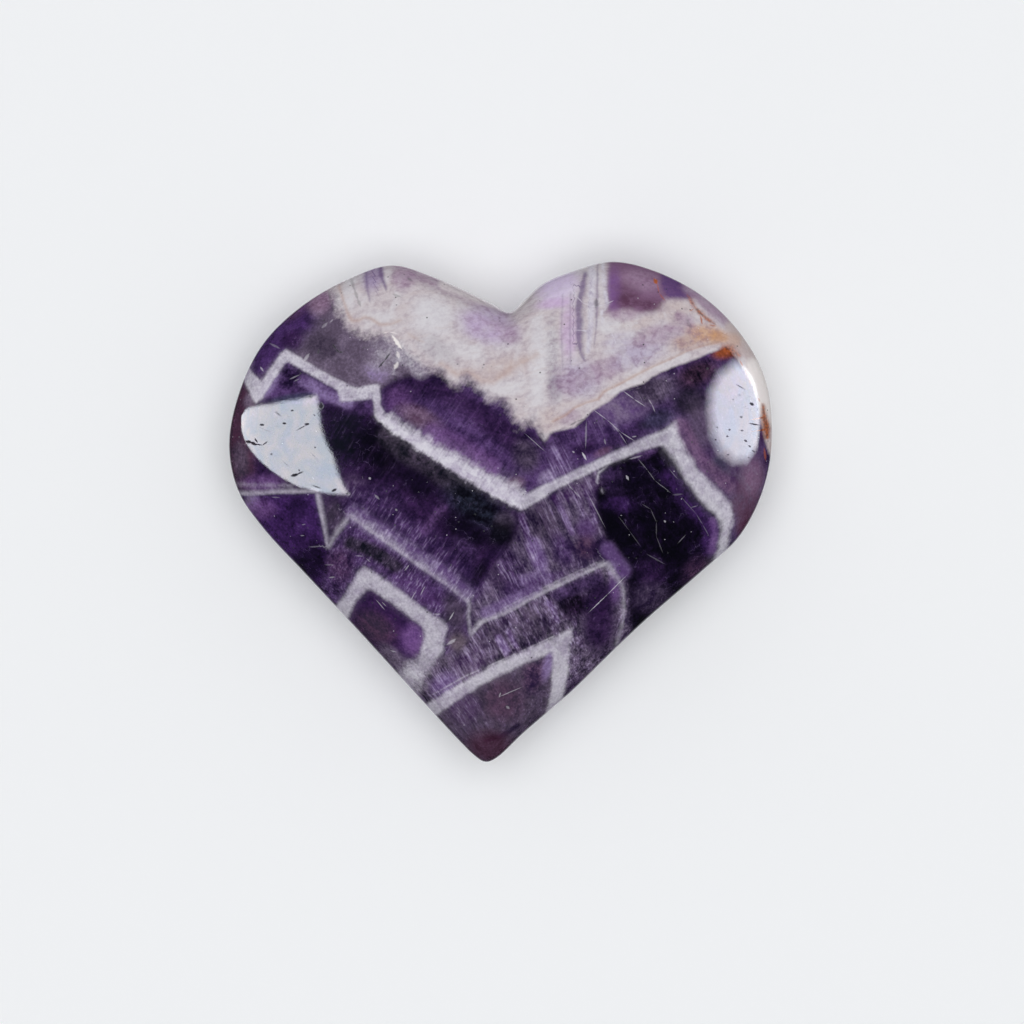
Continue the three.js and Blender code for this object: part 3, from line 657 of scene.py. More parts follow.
# from the left lobe to the right one
creamSpots = [
    pale(0.6, "white", 0.15, spot=(-21.2, 31, 1, 3, -12)),
    pale(0.55, "white", 0.1, spot=(-16.6, 27, 3.4, 1.4, -12)),
    pale(0.7, "lilac", 0.5, 0.3, spot=(-18, 33.4, 1.7, 2.8, 0)),
    pale(0.8, "rose", 0.7, 0.2, spot=(-13.6, 33, 1.9, 2.2, 0)),
    pale(0.65, "rose", 0.6, 0.4, reach=1.5, along=[(-11.6, 33.6), (-6, 31.4), (0.4, 28.4)]),
    # a painted highlight: near white along the rim at the cleft, which lifts the shade that falls on
    # the steep rim there
    pale(0.6, "flare", 0.1, reach=0.8, along=[(-8, 31.8), (-3, 29.8), (0.1, 28.8), (2.6, 29.4)]),
    pale(0.85, "white", 0.1, spot=(-9.5, 28, 3.6, 2.2, -15)),
    pale(0.7, "white", 0.1, spot=(-9.6, 25.8, 3.6, 1.2, -12)),
    pale(0.8, "lavender", 0.45, 0.4, spot=(-1.8, 26, 4.6, 2.8, -18)),
    pale(0.4, "blush", 0.45, 0.4, spot=(-1.8, 26, 4.2, 2.4, -18)),
    pale(0.45, "rose", 0.5, 0.3, spot=(0.2, 26, 2.6, 0.9, -8)),
    pale(0.7, "rose", 0.8, 0.4, spot=(1.4, 24.4, 1.6, 1, 0)),
    pale(0.6, "glass", 0.4, spot=(-9, 22.8, 4, 1.8, -35)),
    pale(0.6, "white", 0.2, spot=(-5, 22.8, 3, 1.4, -20)),
    pale(0.75, "sand", 0.15, spot=(0.8, 20.4, 4.4, 1.5, 15)),
    pale(0.7, "white", 0.1, spot=(0.6, 17.4, 3.4, 1.2, 0)),
    pale(0.8, "white", 0.1, spot=(5.2, 21, 1.4, 7, 0)),
    pale(0.75, "sand", 0.5, 0.3, spot=(6.6, 13, 2.2, 1.8, 20)),
    # the stone's pale pink at the right lobe's crest, its ink lifted to offset the shade on the steep
    # rim: partly painted light
    pale(0.95, "pink", 0.15, 0.4, spot=(8, 31.8, 3.6, 2.8, 25)),
    pale(0.7, "blush", 0.1, 0.1, spot=(7.6, 29.2, 3, 0.8, 8)),
    pale(0.6, "blush", 0.2, 0.4, spot=(9.6, 25.2, 1.4, 4.6, 0)),
    pale(0.6, "glass", 0.7, spot=(7.2, 22, 1, 6, 0)),
    pale(0.6, "haze", 0.8, 0.5, spot=(7.7, 17.6, 1.3, 2.6, 0)),
    pale(0.75, "lavender", 0.8, 0.6, spot=(11, 18.6, 3.4, 3, -10)),
    pale(0.55, "rose", 0.8, 0.3, spot=(9.8, 17.9, 2, 1.6, 0)),
    pale(0.5, "rose", 0.6, 0.3, spot=(9.8, 13.4, 1.8, 1.1, 25)),
    pale(0.7, "rose", 0.7, 0.6, spot=(14.4, 19.9, 4, 1.8, 24)),
    pale(0.75, "lavender", 0.7, 0.6, spot=(19.4, 22.2, 4.6, 2, 24)),
    pale(0.6, "lavender", 0.4, spot=(16.6, 23.8, 2.6, 1.6, 20)),
    pale(0.7, "white", 0.1, spot=(15, 26, 2, 1.3, 0)),
    pale(0.6, "sand", 0.2, spot=(19.4, 26.4, 3.6, 0.9, 18)),
    pale(0.6, "white", 0.1, reach=0.7, along=[(15.6, 16.8), (20, 19.2), (26, 21.8)]),
    pale(0.75, "rose", 0.85, 0.4, spot=(22.4, 24.8, 4.4, 1.6, 15)),
    pale(0.75, "tan", 0.8, 0.1, spot=(26, 23.8, 2.8, 1.2, 15)),
    pale(1, "mauve", 0.7, 0, 0.65,
         edge=[(14.9, 40), (15, 29.2), (14.7, 27.9), (16, 28), (18, 28.3), (19.4, 27.6),
               (21.4, 28), (22.8, 28.4), (23.2, 29.8), (26.2, 29.9), (27.6, 31), (32, 38)]),
    pale(0.75, "orchid", 0.3, 0, spot=(15.9, 31, 1.2, 3.6, 0)),
    pale(0.6, "wine", 0.4, 0, spot=(18, 31, 2, 1.6, 0)),
    pale(0.6, "rose", 0.9, 0, spot=(19.8, 32.4, 3.2, 1.6, -15)),
    pale(0.7, "maroon", 0.6, 0, spot=(17.8, 29.5, 2, 1.1, 0)),
    pale(0.7, "maroon", 0.6, 0, spot=(21, 29, 2, 1, 0)),
    pale(0.9, "violet", 0.3, 0, 0.4,
         edge=[(22.6, 38), (22.4, 31.6), (23.4, 29.9), (26.4, 29.8), (28.4, 30.6), (33, 38)]),
    pale(0.6, "rose", 0.5, 0.3, spot=(17.2, 27.5, 2.4, 0.9, 0)),
    pale(0.8, "sand", 0.3, 0.9, spot=(24.4, 28.2, 2.4, 1.6, 0)),
    pale(0.6, "rose", 1, 0.3, reach=0.8, along=[(25, 27.4), (26.4, 26.8), (26.8, 25.4)]),
    pale(0.85, "rose", 0.3, 0.3, reach=1.3, along=[(26.6, 31.6), (28.6, 29.6), (31.4, 27.2)]),
    pale(0.7, "amber", 0.6, 0.2, spot=(28.8, 24.9, 3, 1.4, -8)),
    pale(0.7, "amber", 0.2, 0, spot=(30.6, 24.6, 1.7, 1, 0)),
    pale(0.95, "sand", 0.05, 1, reach=1.5,
         along=[(32.6, 25.6), (34.9, 22.3), (36.8, 18.6), (38, 9)]),
    # a painted highlight: a near-white line along the glassy right rim, beside the mirror image of the
    # right box
    pale(0.9, "flare", 0, 0, reach=1.3, along=[(35.4, 20.4), (36.8, 17), (37.4, 13)]),
    pale(0.35, "amber", 0.1, 0.6, spot=(32.4, 24, 1.6, 1.2, 0)),
]
fibreNames = ("left", "right")


# For each spot the nearest place on a line: how far off it is, which stretch, how far along
# that stretch from 0 to 1, 1 or -1 for the line's left or right, and how far past its end.
def nearest(line, plan):
    line = np.array(points(line), float)
    start, step = line[:-1], np.diff(line, axis=0)
    heading = step / np.maximum(np.linalg.norm(step, axis=1), 1e-9)[:, None]
    away = plan[:, None] - start
    along = np.clip((away * step).sum(-1) / np.maximum((step**2).sum(-1), 1e-9), 0, 1)
    gap = away - along[..., None] * step
    distance = np.hypot(gap[..., 0], gap[..., 1])
    best = distance.argmin(1)
    row = np.arange(len(plan))
    along, gap = along[row, best], gap[row, best]
    before = np.maximum(best - (along == 0), 0)
    after = np.minimum(best + (along == 1), len(start) - 1)
    turned = heading[before] + heading[after]
    side = np.where(turned[:, 0] * gap[:, 1] > turned[:, 1] * gap[:, 0], 1, -1)
    past = np.abs((gap * heading[best]).sum(-1))
    atEnd = ((best == 0) & (along == 0)) | ((best == len(start) - 1) & (along == 1))
    return distance[row, best], best, along, side, np.where(atEnd, past, 0)


# How deep each place lies inside a closed outline, in millimetres, and less than 0 outside.
def insideBy(edge, plan):
    a = np.array(edge, float)
    b = np.roll(a, -1, 0)
    x, y = plan[:, :1], plan[:, 1:]
    crosses = (a[:, 1] > y) != (b[:, 1] > y)
    rise = np.where(a[:, 1] == b[:, 1], 1, b[:, 1] - a[:, 1])
    inside = (crosses & (x < a[:, 0] + (b[:, 0] - a[:, 0]) * (y - a[:, 1]) / rise)).sum(1) % 2 == 1
    return np.where(inside, 1, -1) * nearest(list(edge) + [edge[0]], plan)[0]


# 0 below low, 1 above high, and an even curve between.
def smooth(value, low, high):
    part = np.clip((value - low) / (high - low), 0, 1)
    return part * part * (3 - 2 * part)


# 1 up to 0.4 of the way to an area's edge, and 0 from 1.3 of it.
def fading(share):
    return smooth(1.3 - share, 0, 0.9)


# How much of an area's colour a place takes. An outline fades over its blur, a trail over its
# reach from its line, and an ellipse from near its middle to a little past its edge.
def weightOf(area, plan):
    if "edge" in area:
        return smooth(insideBy(area["edge"], plan), -area["blur"], area["blur"]) * area["cover"]
    if "along" in area:
        return fading(nearest(area["along"], plan)[0] / area["reach"]) * area["cover"]
    x, y, rx, ry, turn = area["spot"]
    cos, sin = math.cos(math.radians(turn)), math.sin(math.radians(turn))
    across = (plan[:, 0] - x) * cos + (plan[:, 1] - y) * sin
    up = (plan[:, 1] - y) * cos - (plan[:, 0] - x) * sin
    return fading(np.hypot(across / rx, up / ry)) * area["cover"]


# The lines of one kind, as two vectors a place for the nearest of them: how far it is off and,
# for a thin line, on which side; half its width and its cover; and its blur and rag.
def lineFields(lines, plan):
    count = len(plan)
    line, edge = np.tile([9.0, 0, 0], (count, 1)), np.tile([1.0, 0, 0], (count, 1))
    best = np.full(count, -99.0)
    for item in lines:
        if "edge" in item:
            distance, side, past = np.zeros(count), np.ones(count), np.zeros(count)
            width = np.clip(insideBy(item["edge"], plan), -3, 3)
        else:
            distance, stretch, along, side, past = nearest(item["line"], plan)
            half = np.array(item["line"], float)[:, 2]
            width = half[stretch] * (1 - along) + half[stretch + 1] * along
        blur, rag = (np.where(side > 0, *item[name]) for name in ("blur", "rag"))
        end = -(3.4 * blur + rag)
        thin = width < pattern["thinHalf"]
        cover = item["cover"] * smooth(width - distance, end - 0.5, end)
        cover = cover * (1 - thin * smooth(past, 0, 0.5))
        closer = width - distance > best
        best[closer] = (width - distance)[closer]
        line[closer] = np.stack([np.where(thin, side, 1) * distance, width, cover], -1)[closer]
        edge[closer] = np.stack([blur, rag, np.zeros(count)], -1)[closer]
    return line, edge


# Sorts the dashes of a kind into layers in which no two come near each other.
def dashLayers(marks):
    layers = []
    for mark in marks:
        spots = np.linspace(*np.array(mark["ends"], float), 9)
        for layer in layers:
            gaps = [np.linalg.norm(spots[:, None] - other, axis=-1).min() for _, other in layer]
            if min(gaps) > pattern["dashGap"]:
                break
        else:
            layer = []
            layers.append(layer)
        layer.append((mark, spots))
    return [[mark for mark, spots in layer] for layer in layers]


# A layer of dashes: for the nearest, how far along it a place lies as a share of half its
# length, how far across as a share of half its width, and its cover.
def dashField(marks, plan):
    field = np.tile([9.0, 9, 0], (len(plan), 1))
    best = np.full(len(plan), pattern["dashReach"])
    for mark in marks:
        ends = np.array(mark["ends"], float)
        middle, reach = ends.mean(0), (ends[1] - ends[0]) / 2
        length = np.hypot(*reach)
        reach = reach / length
        length += 0.4 * mark["half"]
        away = plan - middle
        along, across = away @ reach, away @ np.array([-reach[1], reach[0]])
        distance = np.hypot(np.maximum(np.abs(along) - length, 0), across)
        closer = distance < best
        best[closer] = distance[closer]
        cover = mark["cover"] * (1 - smooth(distance, 0.6, 1))
        field[closer] = np.stack([along / length, across / mark["half"], cover], -1)[closer]
    return field


# The pale zone: how deep inside it a place lies, and the blur and rag of its nearer edge.
def creamField(plan):
    depth = insideBy(creamLeft + creamRight[1:] + [(60, 30), (60, 70), (-30, 70)], plan)
    leftward = nearest(creamRight, plan)[0] - nearest(creamLeft, plan)[0]
    ragged = smooth(leftward, -1.5, 1.5)
    blur, rag = (pattern[name][0] + pattern[name][1] * ragged for name in ("creamBlur", "creamRag"))
    return np.stack([np.clip(depth, -4, 4), blur, rag], -1)


# The pattern's plan for each place. On the front it is the plan from above, and below that the
# bands lean with depth, so that they run on round the rim and across the back.
def patternPlan(places, depth):
    part = depth[:, None] / (heartShape["frontRise"] + heartShape["rimHeight"])
    reach, length = pattern["backSway"]
    sway = reach * np.stack([np.sin(places[:, 1] / length), np.sin(places[:, 0] / length)], -1)
    return planFromAbove(places) + part * (np.array(pattern["backShift"]) + sway)


# The pattern's vectors for each place, by name: inks, mixture, fibres, edges, lines and dashes.
def paintStone(places, depth):
    plan = patternPlan(places, depth)
    count = len(plan)
    dark = np.tile(ink("deep"), (count, 1))
    light = np.tile(ink("violet"), (count, 1))
    mixture = np.tile([0.42, 0.2, 0], (count, 1))
    toRight = smooth(plan[:, 0] - pattern["tipX"], -pattern["tipBlur"], pattern["tipBlur"])
    fibres = np.stack([1 - toRight, toRight, np.ones(count)], -1)
    for area in sectors + leftSpots + rightSpots + upperSpots + lobeSpots + lowSpots:
        weight = weightOf(area, plan)[:, None]
        dark = dark * (1 - weight) + ink(area["dark"]) * weight
        light = light * (1 - weight) + ink(area["pale"]) * weight
        mixture = mixture * (1 - weight) + np.array([area["share"], area["frost"], 0]) * weight
        if area["fibres"]:
            family = np.array([name == area["fibres"] for name in fibreNames] + [True], float)
            fibres = fibres * (1 - weight) + family * weight
    cream, mottle = np.tile(ink("cream"), (count, 1)), np.full((count, 1), 0.4)
    for area in creamSpots:
        weight = weightOf(area, plan)[:, None]
        cream = cream * (1 - weight) + ink(area["tint"]) * weight
        mottle = mottle * (1 - weight) + area["mottle"] * weight
        fibres[:, 2:] = fibres[:, 2:] * (1 - weight) + area["puffs"] * weight
    mixture[:, 2:] = mottle
    fields = {"darkInk": dark, "paleInk": light, "creamInk": cream, "fibres": fibres,
              "mixture": mixture, "creamEdge": creamField(plan)}
    for name, lines in lineKinds.items():
        fields[name + "Line"], fields[name + "Edge"] = lineFields(lines, plan)
    for name, marks in dashKinds.items():
        for number, layer in enumerate(dashLayers(marks)):
            fields[name + "Dash" + str(number)] = dashField(layer, plan)
    return fields


# The stone as a mesh, with the pattern in its vertices.
def makeHeart():
    places, faces, depth = heartGrid(heartShape)
    mesh = bpy.data.meshes.new("amethystStone")
    mesh.from_pydata((places * mm).tolist(), [], faces)
    mesh.polygons.foreach_set("use_smooth", np.ones(len(faces), bool))
    for name, values in paintStone(places, depth).items():
        attribute = mesh.attributes.new(name, "FLOAT_VECTOR", "POINT")
        attribute.data.foreach_set("vector", values.astype(np.float32).ravel())
    mesh.update()
    piece = bpy.data.objects.new("amethystStone", mesh)
    bpy.context.scene.collection.objects.link(piece)
    print("stone:", len(places), "places,", sum(len(face) - 2 for face in faces), "triangles")
    return piece


# A number, colour or vector on its way through a material. Sums on it add Math nodes.
class Wire:
    def __init__(self, tree, socket=None):
        self.tree = tree
        self.socket = socket

    # Any node: its type, its settings, and its sockets' values or links by name or number.
    def node(self, kind, settings=None, sockets=None, out=0):
        made = self.tree.nodes.new(kind)
        for name, value in (settings or {}).items():
            setattr(made, name, value)
        for name, value in (sockets or {}).items():
            if isinstance(value, Wire):
                self.tree.links.new(value.socket, made.inputs[name])
            else:
                made.inputs[name].default_value = value
        return Wire(self.tree, made.outputs[out]) if made.outputs else made

    # The larger of this and another.
    def most(self, other):
        return self.maths("MAXIMUM", self, other)

    def maths(self, operation, first, second=0.0):
        return self.node("ShaderNodeMath", {"operation": operation}, {0: first, 1: second})

    def __add__(self, other):
        return self.maths("ADD", self, other)

    def __radd__(self, other):
        return self.maths("ADD", other, self)

    def __sub__(self, other):
        return self.maths("SUBTRACT", self, other)

    def __rsub__(self, other):
        return self.maths("SUBTRACT", other, self)

    def __mul__(self, other):
        return self.maths("MULTIPLY", self, other)

    def __rmul__(self, other):
        return self.maths("MULTIPLY", other, self)

    def __truediv__(self, other):
        return self.maths("DIVIDE", self, other)

    def __rtruediv__(self, other):
        return self.maths("DIVIDE", other, self)

    # A number without its sign.
    def size(self):
        return self.maths("ABSOLUTE", self)

    # 0 below low, 1 above high, and an even curve between.
    def step(self, low, high, bottom=0.0, top=1.0):
        return self.node("ShaderNodeMapRange", {"interpolation_type": "SMOOTHSTEP"}, {
            "Value": self, "From Min": low, "From Max": high, "To Min": bottom, "To Max": top})

    # A colour that goes from first to second as this number goes from 0 to 1.
    def mix(self, first, second, blend="MIX"):
        settings = {"data_type": "RGBA", "blend_type": blend, "clamp_factor": True}
        return self.node("ShaderNodeMix", settings, {0: self, 6: first, 7: second}, 2)

    # One number of a vector: 0 is x, 1 is y and 2 is z.
    def part(self, number):
        return self.node("ShaderNodeSeparateXYZ", {}, {0: self}, number)

    def attribute(self, name):
        return self.node("ShaderNodeAttribute", {"attribute_name": name}, {}, "Vector")

    # A noise from 0 to 1 whose grains are so long and so wide, in millimetres, turned in plan.
    def noise(self, long, wide, turn=0.0, detail=2.0, shift=0.0, sway=0.0):
        spot = self.node("ShaderNodeMapping", {"vector_type": "TEXTURE"},
                         {"Vector": self, "Location": (shift, shift * 0.7, shift * 0.3),
                          "Rotation": (0, 0, math.radians(turn)), "Scale": (long, wide, wide)})
        return self.node("ShaderNodeTexNoise", {}, {
            "Vector": spot, "Scale": 1.0, "Detail": detail, "Roughness": 0.55, "Distortion": sway})

    # Small round marks, at most one to a cell of this size, in this share of the cells.
    def dots(self, cell, radius, share):
        sockets = {"Vector": self, "Scale": 1 / cell}
        spot = self.node("ShaderNodeTexVoronoi", {"feature": "F1"}, sockets, "Distance")
        chance = self.node("ShaderNodeTexVoronoi", {"feature": "F1"}, sockets, "Color").part(0)
        mark = 1 - spot.step(0.5 * radius / cell, 1.3 * radius / cell)
        return mark * chance.step(1 - share, 1.02 - share)


# An ink as a material takes it.
def colour(name):
    return (*ink(name), 1)


# Sizes are in millimetres.
stoneFinish = {
    "cloudSize": 3.4, "plainSize": 1.1, "grainSize": 0.36, "softSize": 1.4,
    "fibreTurns": {"left": 57, "right": -63.6},   # degrees from the line between the lobes
    "bundleSize": (6, 1), "needleSize": (6, 0.26),            # of the fibres, long and wide
    "puffSize": (3, 2.2), "mottleSize": (0.9, 0.7), "veinSize": (4.5, 1),  # in the pale zone
    "cloudReach": 1.3, "plainReach": 1.1, "fibreReach": 2.6,  # how strongly they move dark and pale
    "frost": 0.66, "grain": 0.16, "web": 0.16,    # how strongly needles, grains and cracks show
    "speckCell": 1.2, "speckRadius": 0.08, "speckShare": 0.3,
    "pitCell": 1.1, "pitRadius": 0.13, "pitShare": 0.2,
    "roughness": (0.03, 0.06), "markRoughness": 0.94,         # of the polish, and more in marks
    "ripple": 0.003,                              # height of the polish's ripple
    "ior": 1.55,
}


# Banded stone under a polish: a dark ground with fibres, the pale zone, lines and marks.
def amethystMaterial():
    finish = stoneFinish
    material = bpy.data.materials.new("bandedAmethyst")
    material.use_nodes = True
    tree = material.node_tree
    tree.nodes.clear()
    start = Wire(tree)
    place = start.node("ShaderNodeTexCoord", {}, {}, "Object")
    place = place.node("ShaderNodeVectorMath", {"operation": "SCALE"}, {0: place, "Scale": 1 / mm})

    # clouds, lumps and grains, and bundles of fibres in the two families
    families = place.attribute("fibres")
    cloud = place.noise(finish["cloudSize"], finish["cloudSize"], detail=6.0, sway=0.8)
    plain = place.noise(finish["plainSize"], finish["plainSize"], detail=6.0, shift=3, sway=0.5)
    grain = place.noise(finish["grainSize"], finish["grainSize"], detail=3.0, shift=7)
    toLeft, toRight = families.part(0), families.part(1)
    neither = 1 - toLeft - toRight
    leftTurn, rightTurn = finish["fibreTurns"]["left"], finish["fibreTurns"]["right"]
    size = finish["bundleSize"]
    bundle = (place.noise(*size, leftTurn, sway=0.3) * toLeft
              + place.noise(*size, rightTurn, sway=0.3) * toRight + cloud * neither)
    size = finish["needleSize"]
    needle = (place.noise(*size, leftTurn, 1.0, 4) * toLeft
              + place.noise(*size, rightTurn, 1.0, 4) * toRight + grain * neither)
    fibre = bundle * 0.6 + needle * 0.4

    # the dark ground
    mixture = place.attribute("mixture")
    streak = mixture.part(1)
    level = (mixture.part(0) + (cloud - 0.5) * finish["cloudReach"]
             + (plain - 0.5) * (1 - streak * 0.5) * finish["plainReach"]
             + (fibre - 0.5) * (streak * 0.8 + 0.2) * finish["fibreReach"] + (grain - 0.5) * 0.5)
    shade = level.step(-0.1, 1.1).mix(place.attribute("darkInk"), place.attribute("paleInk"))
    tuft = bundle.step(0.38, 0.62) * streak.step(0.05, 0.8)
    frost = tuft * (needle + streak * 0.24).step(0.6, 0.84)
    shade = (tuft * 0.2).mix(shade, colour("orchid"))
    needles = plain.step(0.35, 0.65).mix(colour("lilac"), colour("frost"))
    shade = (frost * finish["frost"]).mix(shade, needles)

    # a faint web of cracks: the edges of bent cells
    bent = place.node("ShaderNodeTexNoise", {}, {"Vector": place, "Scale": 0.5, "Detail": 3.0}, "Color")
    bent = place.node("ShaderNodeVectorMath", {"operation": "MULTIPLY_ADD"},
                      {0: bent, 1: (3, 3, 3), 2: place})
    web = bent.node("ShaderNodeTexVoronoi", {"feature": "DISTANCE_TO_EDGE"},
                    {"Vector": bent, "Scale": 0.6}, "Distance")
    web = (1 - web.step(0.004, 0.03)) * cloud.step(0.46, 0.62) * plain.step(0.42, 0.6)
    shade = (web * finish["web"]).mix(shade, colour("lilac"))

    # the pale zone, with its painted highlights along the rim at the cleft and the right rim, and its
    # pink partly lifted against the rim's shade
    soft = place.noise(finish["softSize"], finish["softSize"], detail=2.5, shift=21)
    rag = (soft - 0.5) * 3 + (needle - 0.5) * 0.7 + (grain - 0.5) * 0.25
    creamEdge = place.attribute("creamEdge")
    puff = place.noise(*finish["puffSize"], 70, detail=4.0, shift=9, sway=0.6)
    mottle = place.noise(*finish["mottleSize"], 20, detail=5.0, shift=11, sway=0.3)
    veins = place.noise(*finish["veinSize"], 14, detail=3.0, shift=13, sway=0.6)
    mottled = mottle.step(0.4, 0.68) * mixture.part(2) * 0.8
    cream = mottled.mix(place.attribute("creamInk"), colour("mauve"))
    cream = (puff.step(0.45, 0.7) * families.part(2) * 0.5).mix(cream, colour("white"))
    cream = (veins.step(0.52, 0.74) * families.part(2) * 0.3).mix(cream, colour("sand"))
    inward = (creamEdge.part(0) + rag * creamEdge.part(2)) / creamEdge.part(1)
    creamMask = inward.step(-1.0, 1.0)
    shade = creamMask.mix(shade, cream)

    # how much a kind of line covers a place
    def lineMask(name):
        line, edge = place.attribute(name + "Line"), place.attribute(name + "Edge")
        inward = (line.part(1) - line.part(0).size() + rag * edge.part(1)) / edge.part(0)
        return (inward.step(-1.0, 1.0) * 0.92 + inward.step(-3.0, 0.6) * 0.08) * line.part(2)

    # the same for the dashes of a kind, over all its layers
    def dashMask(name, amount=0.0):
        for number in range(len(dashLayers(dashKinds[name]))):
            mark = place.attribute(name + "Dash" + str(number))
            inward = 1 - mark.part(0) * mark.part(0) - (mark.part(1) + (grain - 0.5) * 1.2).size()
            amount = (inward.step(-0.5, 0.5) * mark.part(2)).most(amount)
        return amount

    # lines and marks, laid over the ground and the pale zone
    shade = lineMask("violet").mix(shade, colour("violet"))
    shade = lineMask("tan").mix(shade, colour("tan"))
    milky = (cloud * 0.45 + plain * 0.4 + needle * 0.15).step(0.36, 0.6)
    milk = milky.mix(colour("veil"), colour("milk"))
    shade = (lineMask("white") * soft.step(0.2, 0.55, 0.86, 1.02)).mix(shade, milk)
    # hair lines, and the painted glow round the glints
    shade = (lineMask("fine") * plain.step(0.32, 0.56)).mix(shade, milk)
    stain = grain.step(0.35, 0.65).mix(colour("deepRust"), colour("rust"))
    shade = lineMask("rust").mix(shade, stain)
    shade = dashMask("rust").mix(shade, colour("rust"))
    # scratches and flecks, with one painted glint among them
    shade = (dashMask("pale") * 0.85).mix(shade, colour("milk"))
    # painted highlights: the glints, in near white
    shade = dashMask("glint").mix(shade, colour("flare"))
    glitter = grain.step(0.25, 0.75, 0.5 - finish["grain"] / 2, 0.5 + finish["grain"] / 2)
    shade = (1 - creamMask * 0.5).mix(shade, glitter, "OVERLAY")
    specks = place.dots(finish["speckCell"], finish["speckRadius"], finish["speckShare"])
    shade = (specks * 0.6).mix(shade, colour("milk"))

    # the polish: small pits, cracks and a faint ripple. Pits and cracks are painted near black: the
    # cracks' own dark, and painted shade in the pits.
    crackAndPitShade = dashMask("dark")
    shadedPits = place.dots(finish["pitCell"], finish["pitRadius"], finish["pitShare"])
    marks = crackAndPitShade.most(shadedPits)
    shade = (marks * 0.85).mix(shade, colour("black"))
    polish = cloud.step(0.35, 0.7, *finish["roughness"]) + marks * finish["markRoughness"]
    ripple = place.noise(0.9, 0.16, 35, shift=17) * 0.5 + place.noise(0.7, 0.3, -50, shift=19) * 0.5
    bump = place.node("ShaderNodeBump", {}, {
        "Strength": 1.0, "Distance": finish["ripple"] * mm, "Height": ripple}, "Normal")
    shader = place.node("ShaderNodeBsdfPrincipled", {}, {
        "Base Color": shade, "Roughness": polish, "IOR": finish["ior"], "Normal": bump}, "BSDF")
    place.node("ShaderNodeOutputMaterial", {}, {"Surface": shader})
    print("material:", len(tree.nodes), "nodes")
    return material


stone = makeHeart()
stone.data.materials.append(amethystMaterial())
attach(stone, "root")
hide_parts("amethyst_heart")

# The room: a pale floor, a camera straight above and soft lights, in millimetres.
room = {
    "floorSize": 3000, "floorInk": (0.955, 0.962, 0.972), "floorRoughness": 0.9, "floorGloss": 0.1,
    "cameraRise": 450, "frameWidth": 143.3, "frameMiddle": (1.6, 0),  # at the height of the rim
    "lightSize": 1400, "lightRise": 1500, "keyPower": 7.5, "fillPower": 14.6,
    "worldInk": (0.95, 0.97, 1), "worldLight": 0.35,
    "worldGloss": 0.02, "rimGloss": 0.7,  # what the polish shows of it overhead, and from below
}

# Two soft boxes that only the polish shows, each given by the outline of its mirror image on
# the pattern's plan. "reach" is how far off it is, and "soft" the share in which it fades.
boxes = {
    "leftBox": {
        "outline": [(-36.3, 13.5), (-35.7, 14.4), (-32, 15.2), (-28.4, 15.8), (-25.4, 16.4),
                    (-25.2, 14), (-24.8, 11.2), (-23.1, 7.7), (-20.8, 2.2), (-24.1, 2.4),
                    (-28.2, 3.4), (-32.1, 5.7), (-34.9, 8.5), (-36.2, 11.4)],
        "reach": 600, "soft": 0.06,
        "strength": 11.5, "tint": (0.78, 0.9, 1.04), "blush": (1.04, 1.02, 1.03)},
    "rightBox": {
        "outline": [(32.4, 21.8), (30, 19.9), (28.6, 17.2), (28.3, 14), (28.8, 10.4),
                    (30.1, 7.7), (32.3, 6.1), (34.5, 6.4), (36, 8.5), (36.4, 12.2), (36.2, 15.7),
                    (35.3, 19), (34, 21)],
        "reach": 600, "soft": 0.26,
        "strength": 12.5, "tint": (0.86, 0.97, 1.1), "blush": (1.02, 0.99, 1.01)},
}


def makeFloor():
    half = room["floorSize"] / 2 * mm
    mesh = bpy.data.meshes.new("floor")
    corners = [(-half, -half, 0), (half, -half, 0), (half, half, 0), (-half, half, 0)]
    mesh.from_pydata(corners, [], [(0, 1, 2, 3)])
    floor = bpy.data.objects.new("floor", mesh)
    bpy.context.scene.collection.objects.link(floor)
    floor.visible_glossy = False
    material = bpy.data.materials.new("paleFloor")
    material.use_nodes = True
    shader = material.node_tree.nodes["Principled BSDF"]
    shader.inputs["Base Color"].default_value = (*room["floorInk"], 1)
    shader.inputs["Roughness"].default_value = room["floorRoughness"]
    shader.inputs["Specular IOR Level"].default_value = room["floorGloss"]
    mesh.materials.append(material)


# The camera looks straight down, and its frame is so wide at the height of the rim.
def makeCamera():
    data = bpy.data.cameras.new("camera")
    data.sensor_fit = "HORIZONTAL"
    data.angle = 2 * math.atan(room["frameWidth"] / 2 / room["cameraRise"])
    camera = bpy.data.objects.new("camera", data)
    bpy.context.scene.collection.objects.link(camera)
    height = heartShape["rimHeight"] + room["cameraRise"]
    camera.location = [x * mm for x in (*room["frameMiddle"], height)]
    bpy.context.scene.camera = camera


# A wide light overhead that the polish doesn't show. Without shadows it only fills.
def makeOverhead(name, power, shadows):
    data = bpy.data.lights.new(name, "AREA")
    data.size = room["lightSize"] * mm
    data.energy = power
    data.cycles.cast_shadow = shadows
    light = bpy.data.objects.new(name, data)
    bpy.context.scene.collection.objects.link(light)
    light.location = (0, 0, room["lightRise"] * mm)
    light.visible_camera = light.visible_glossy = False


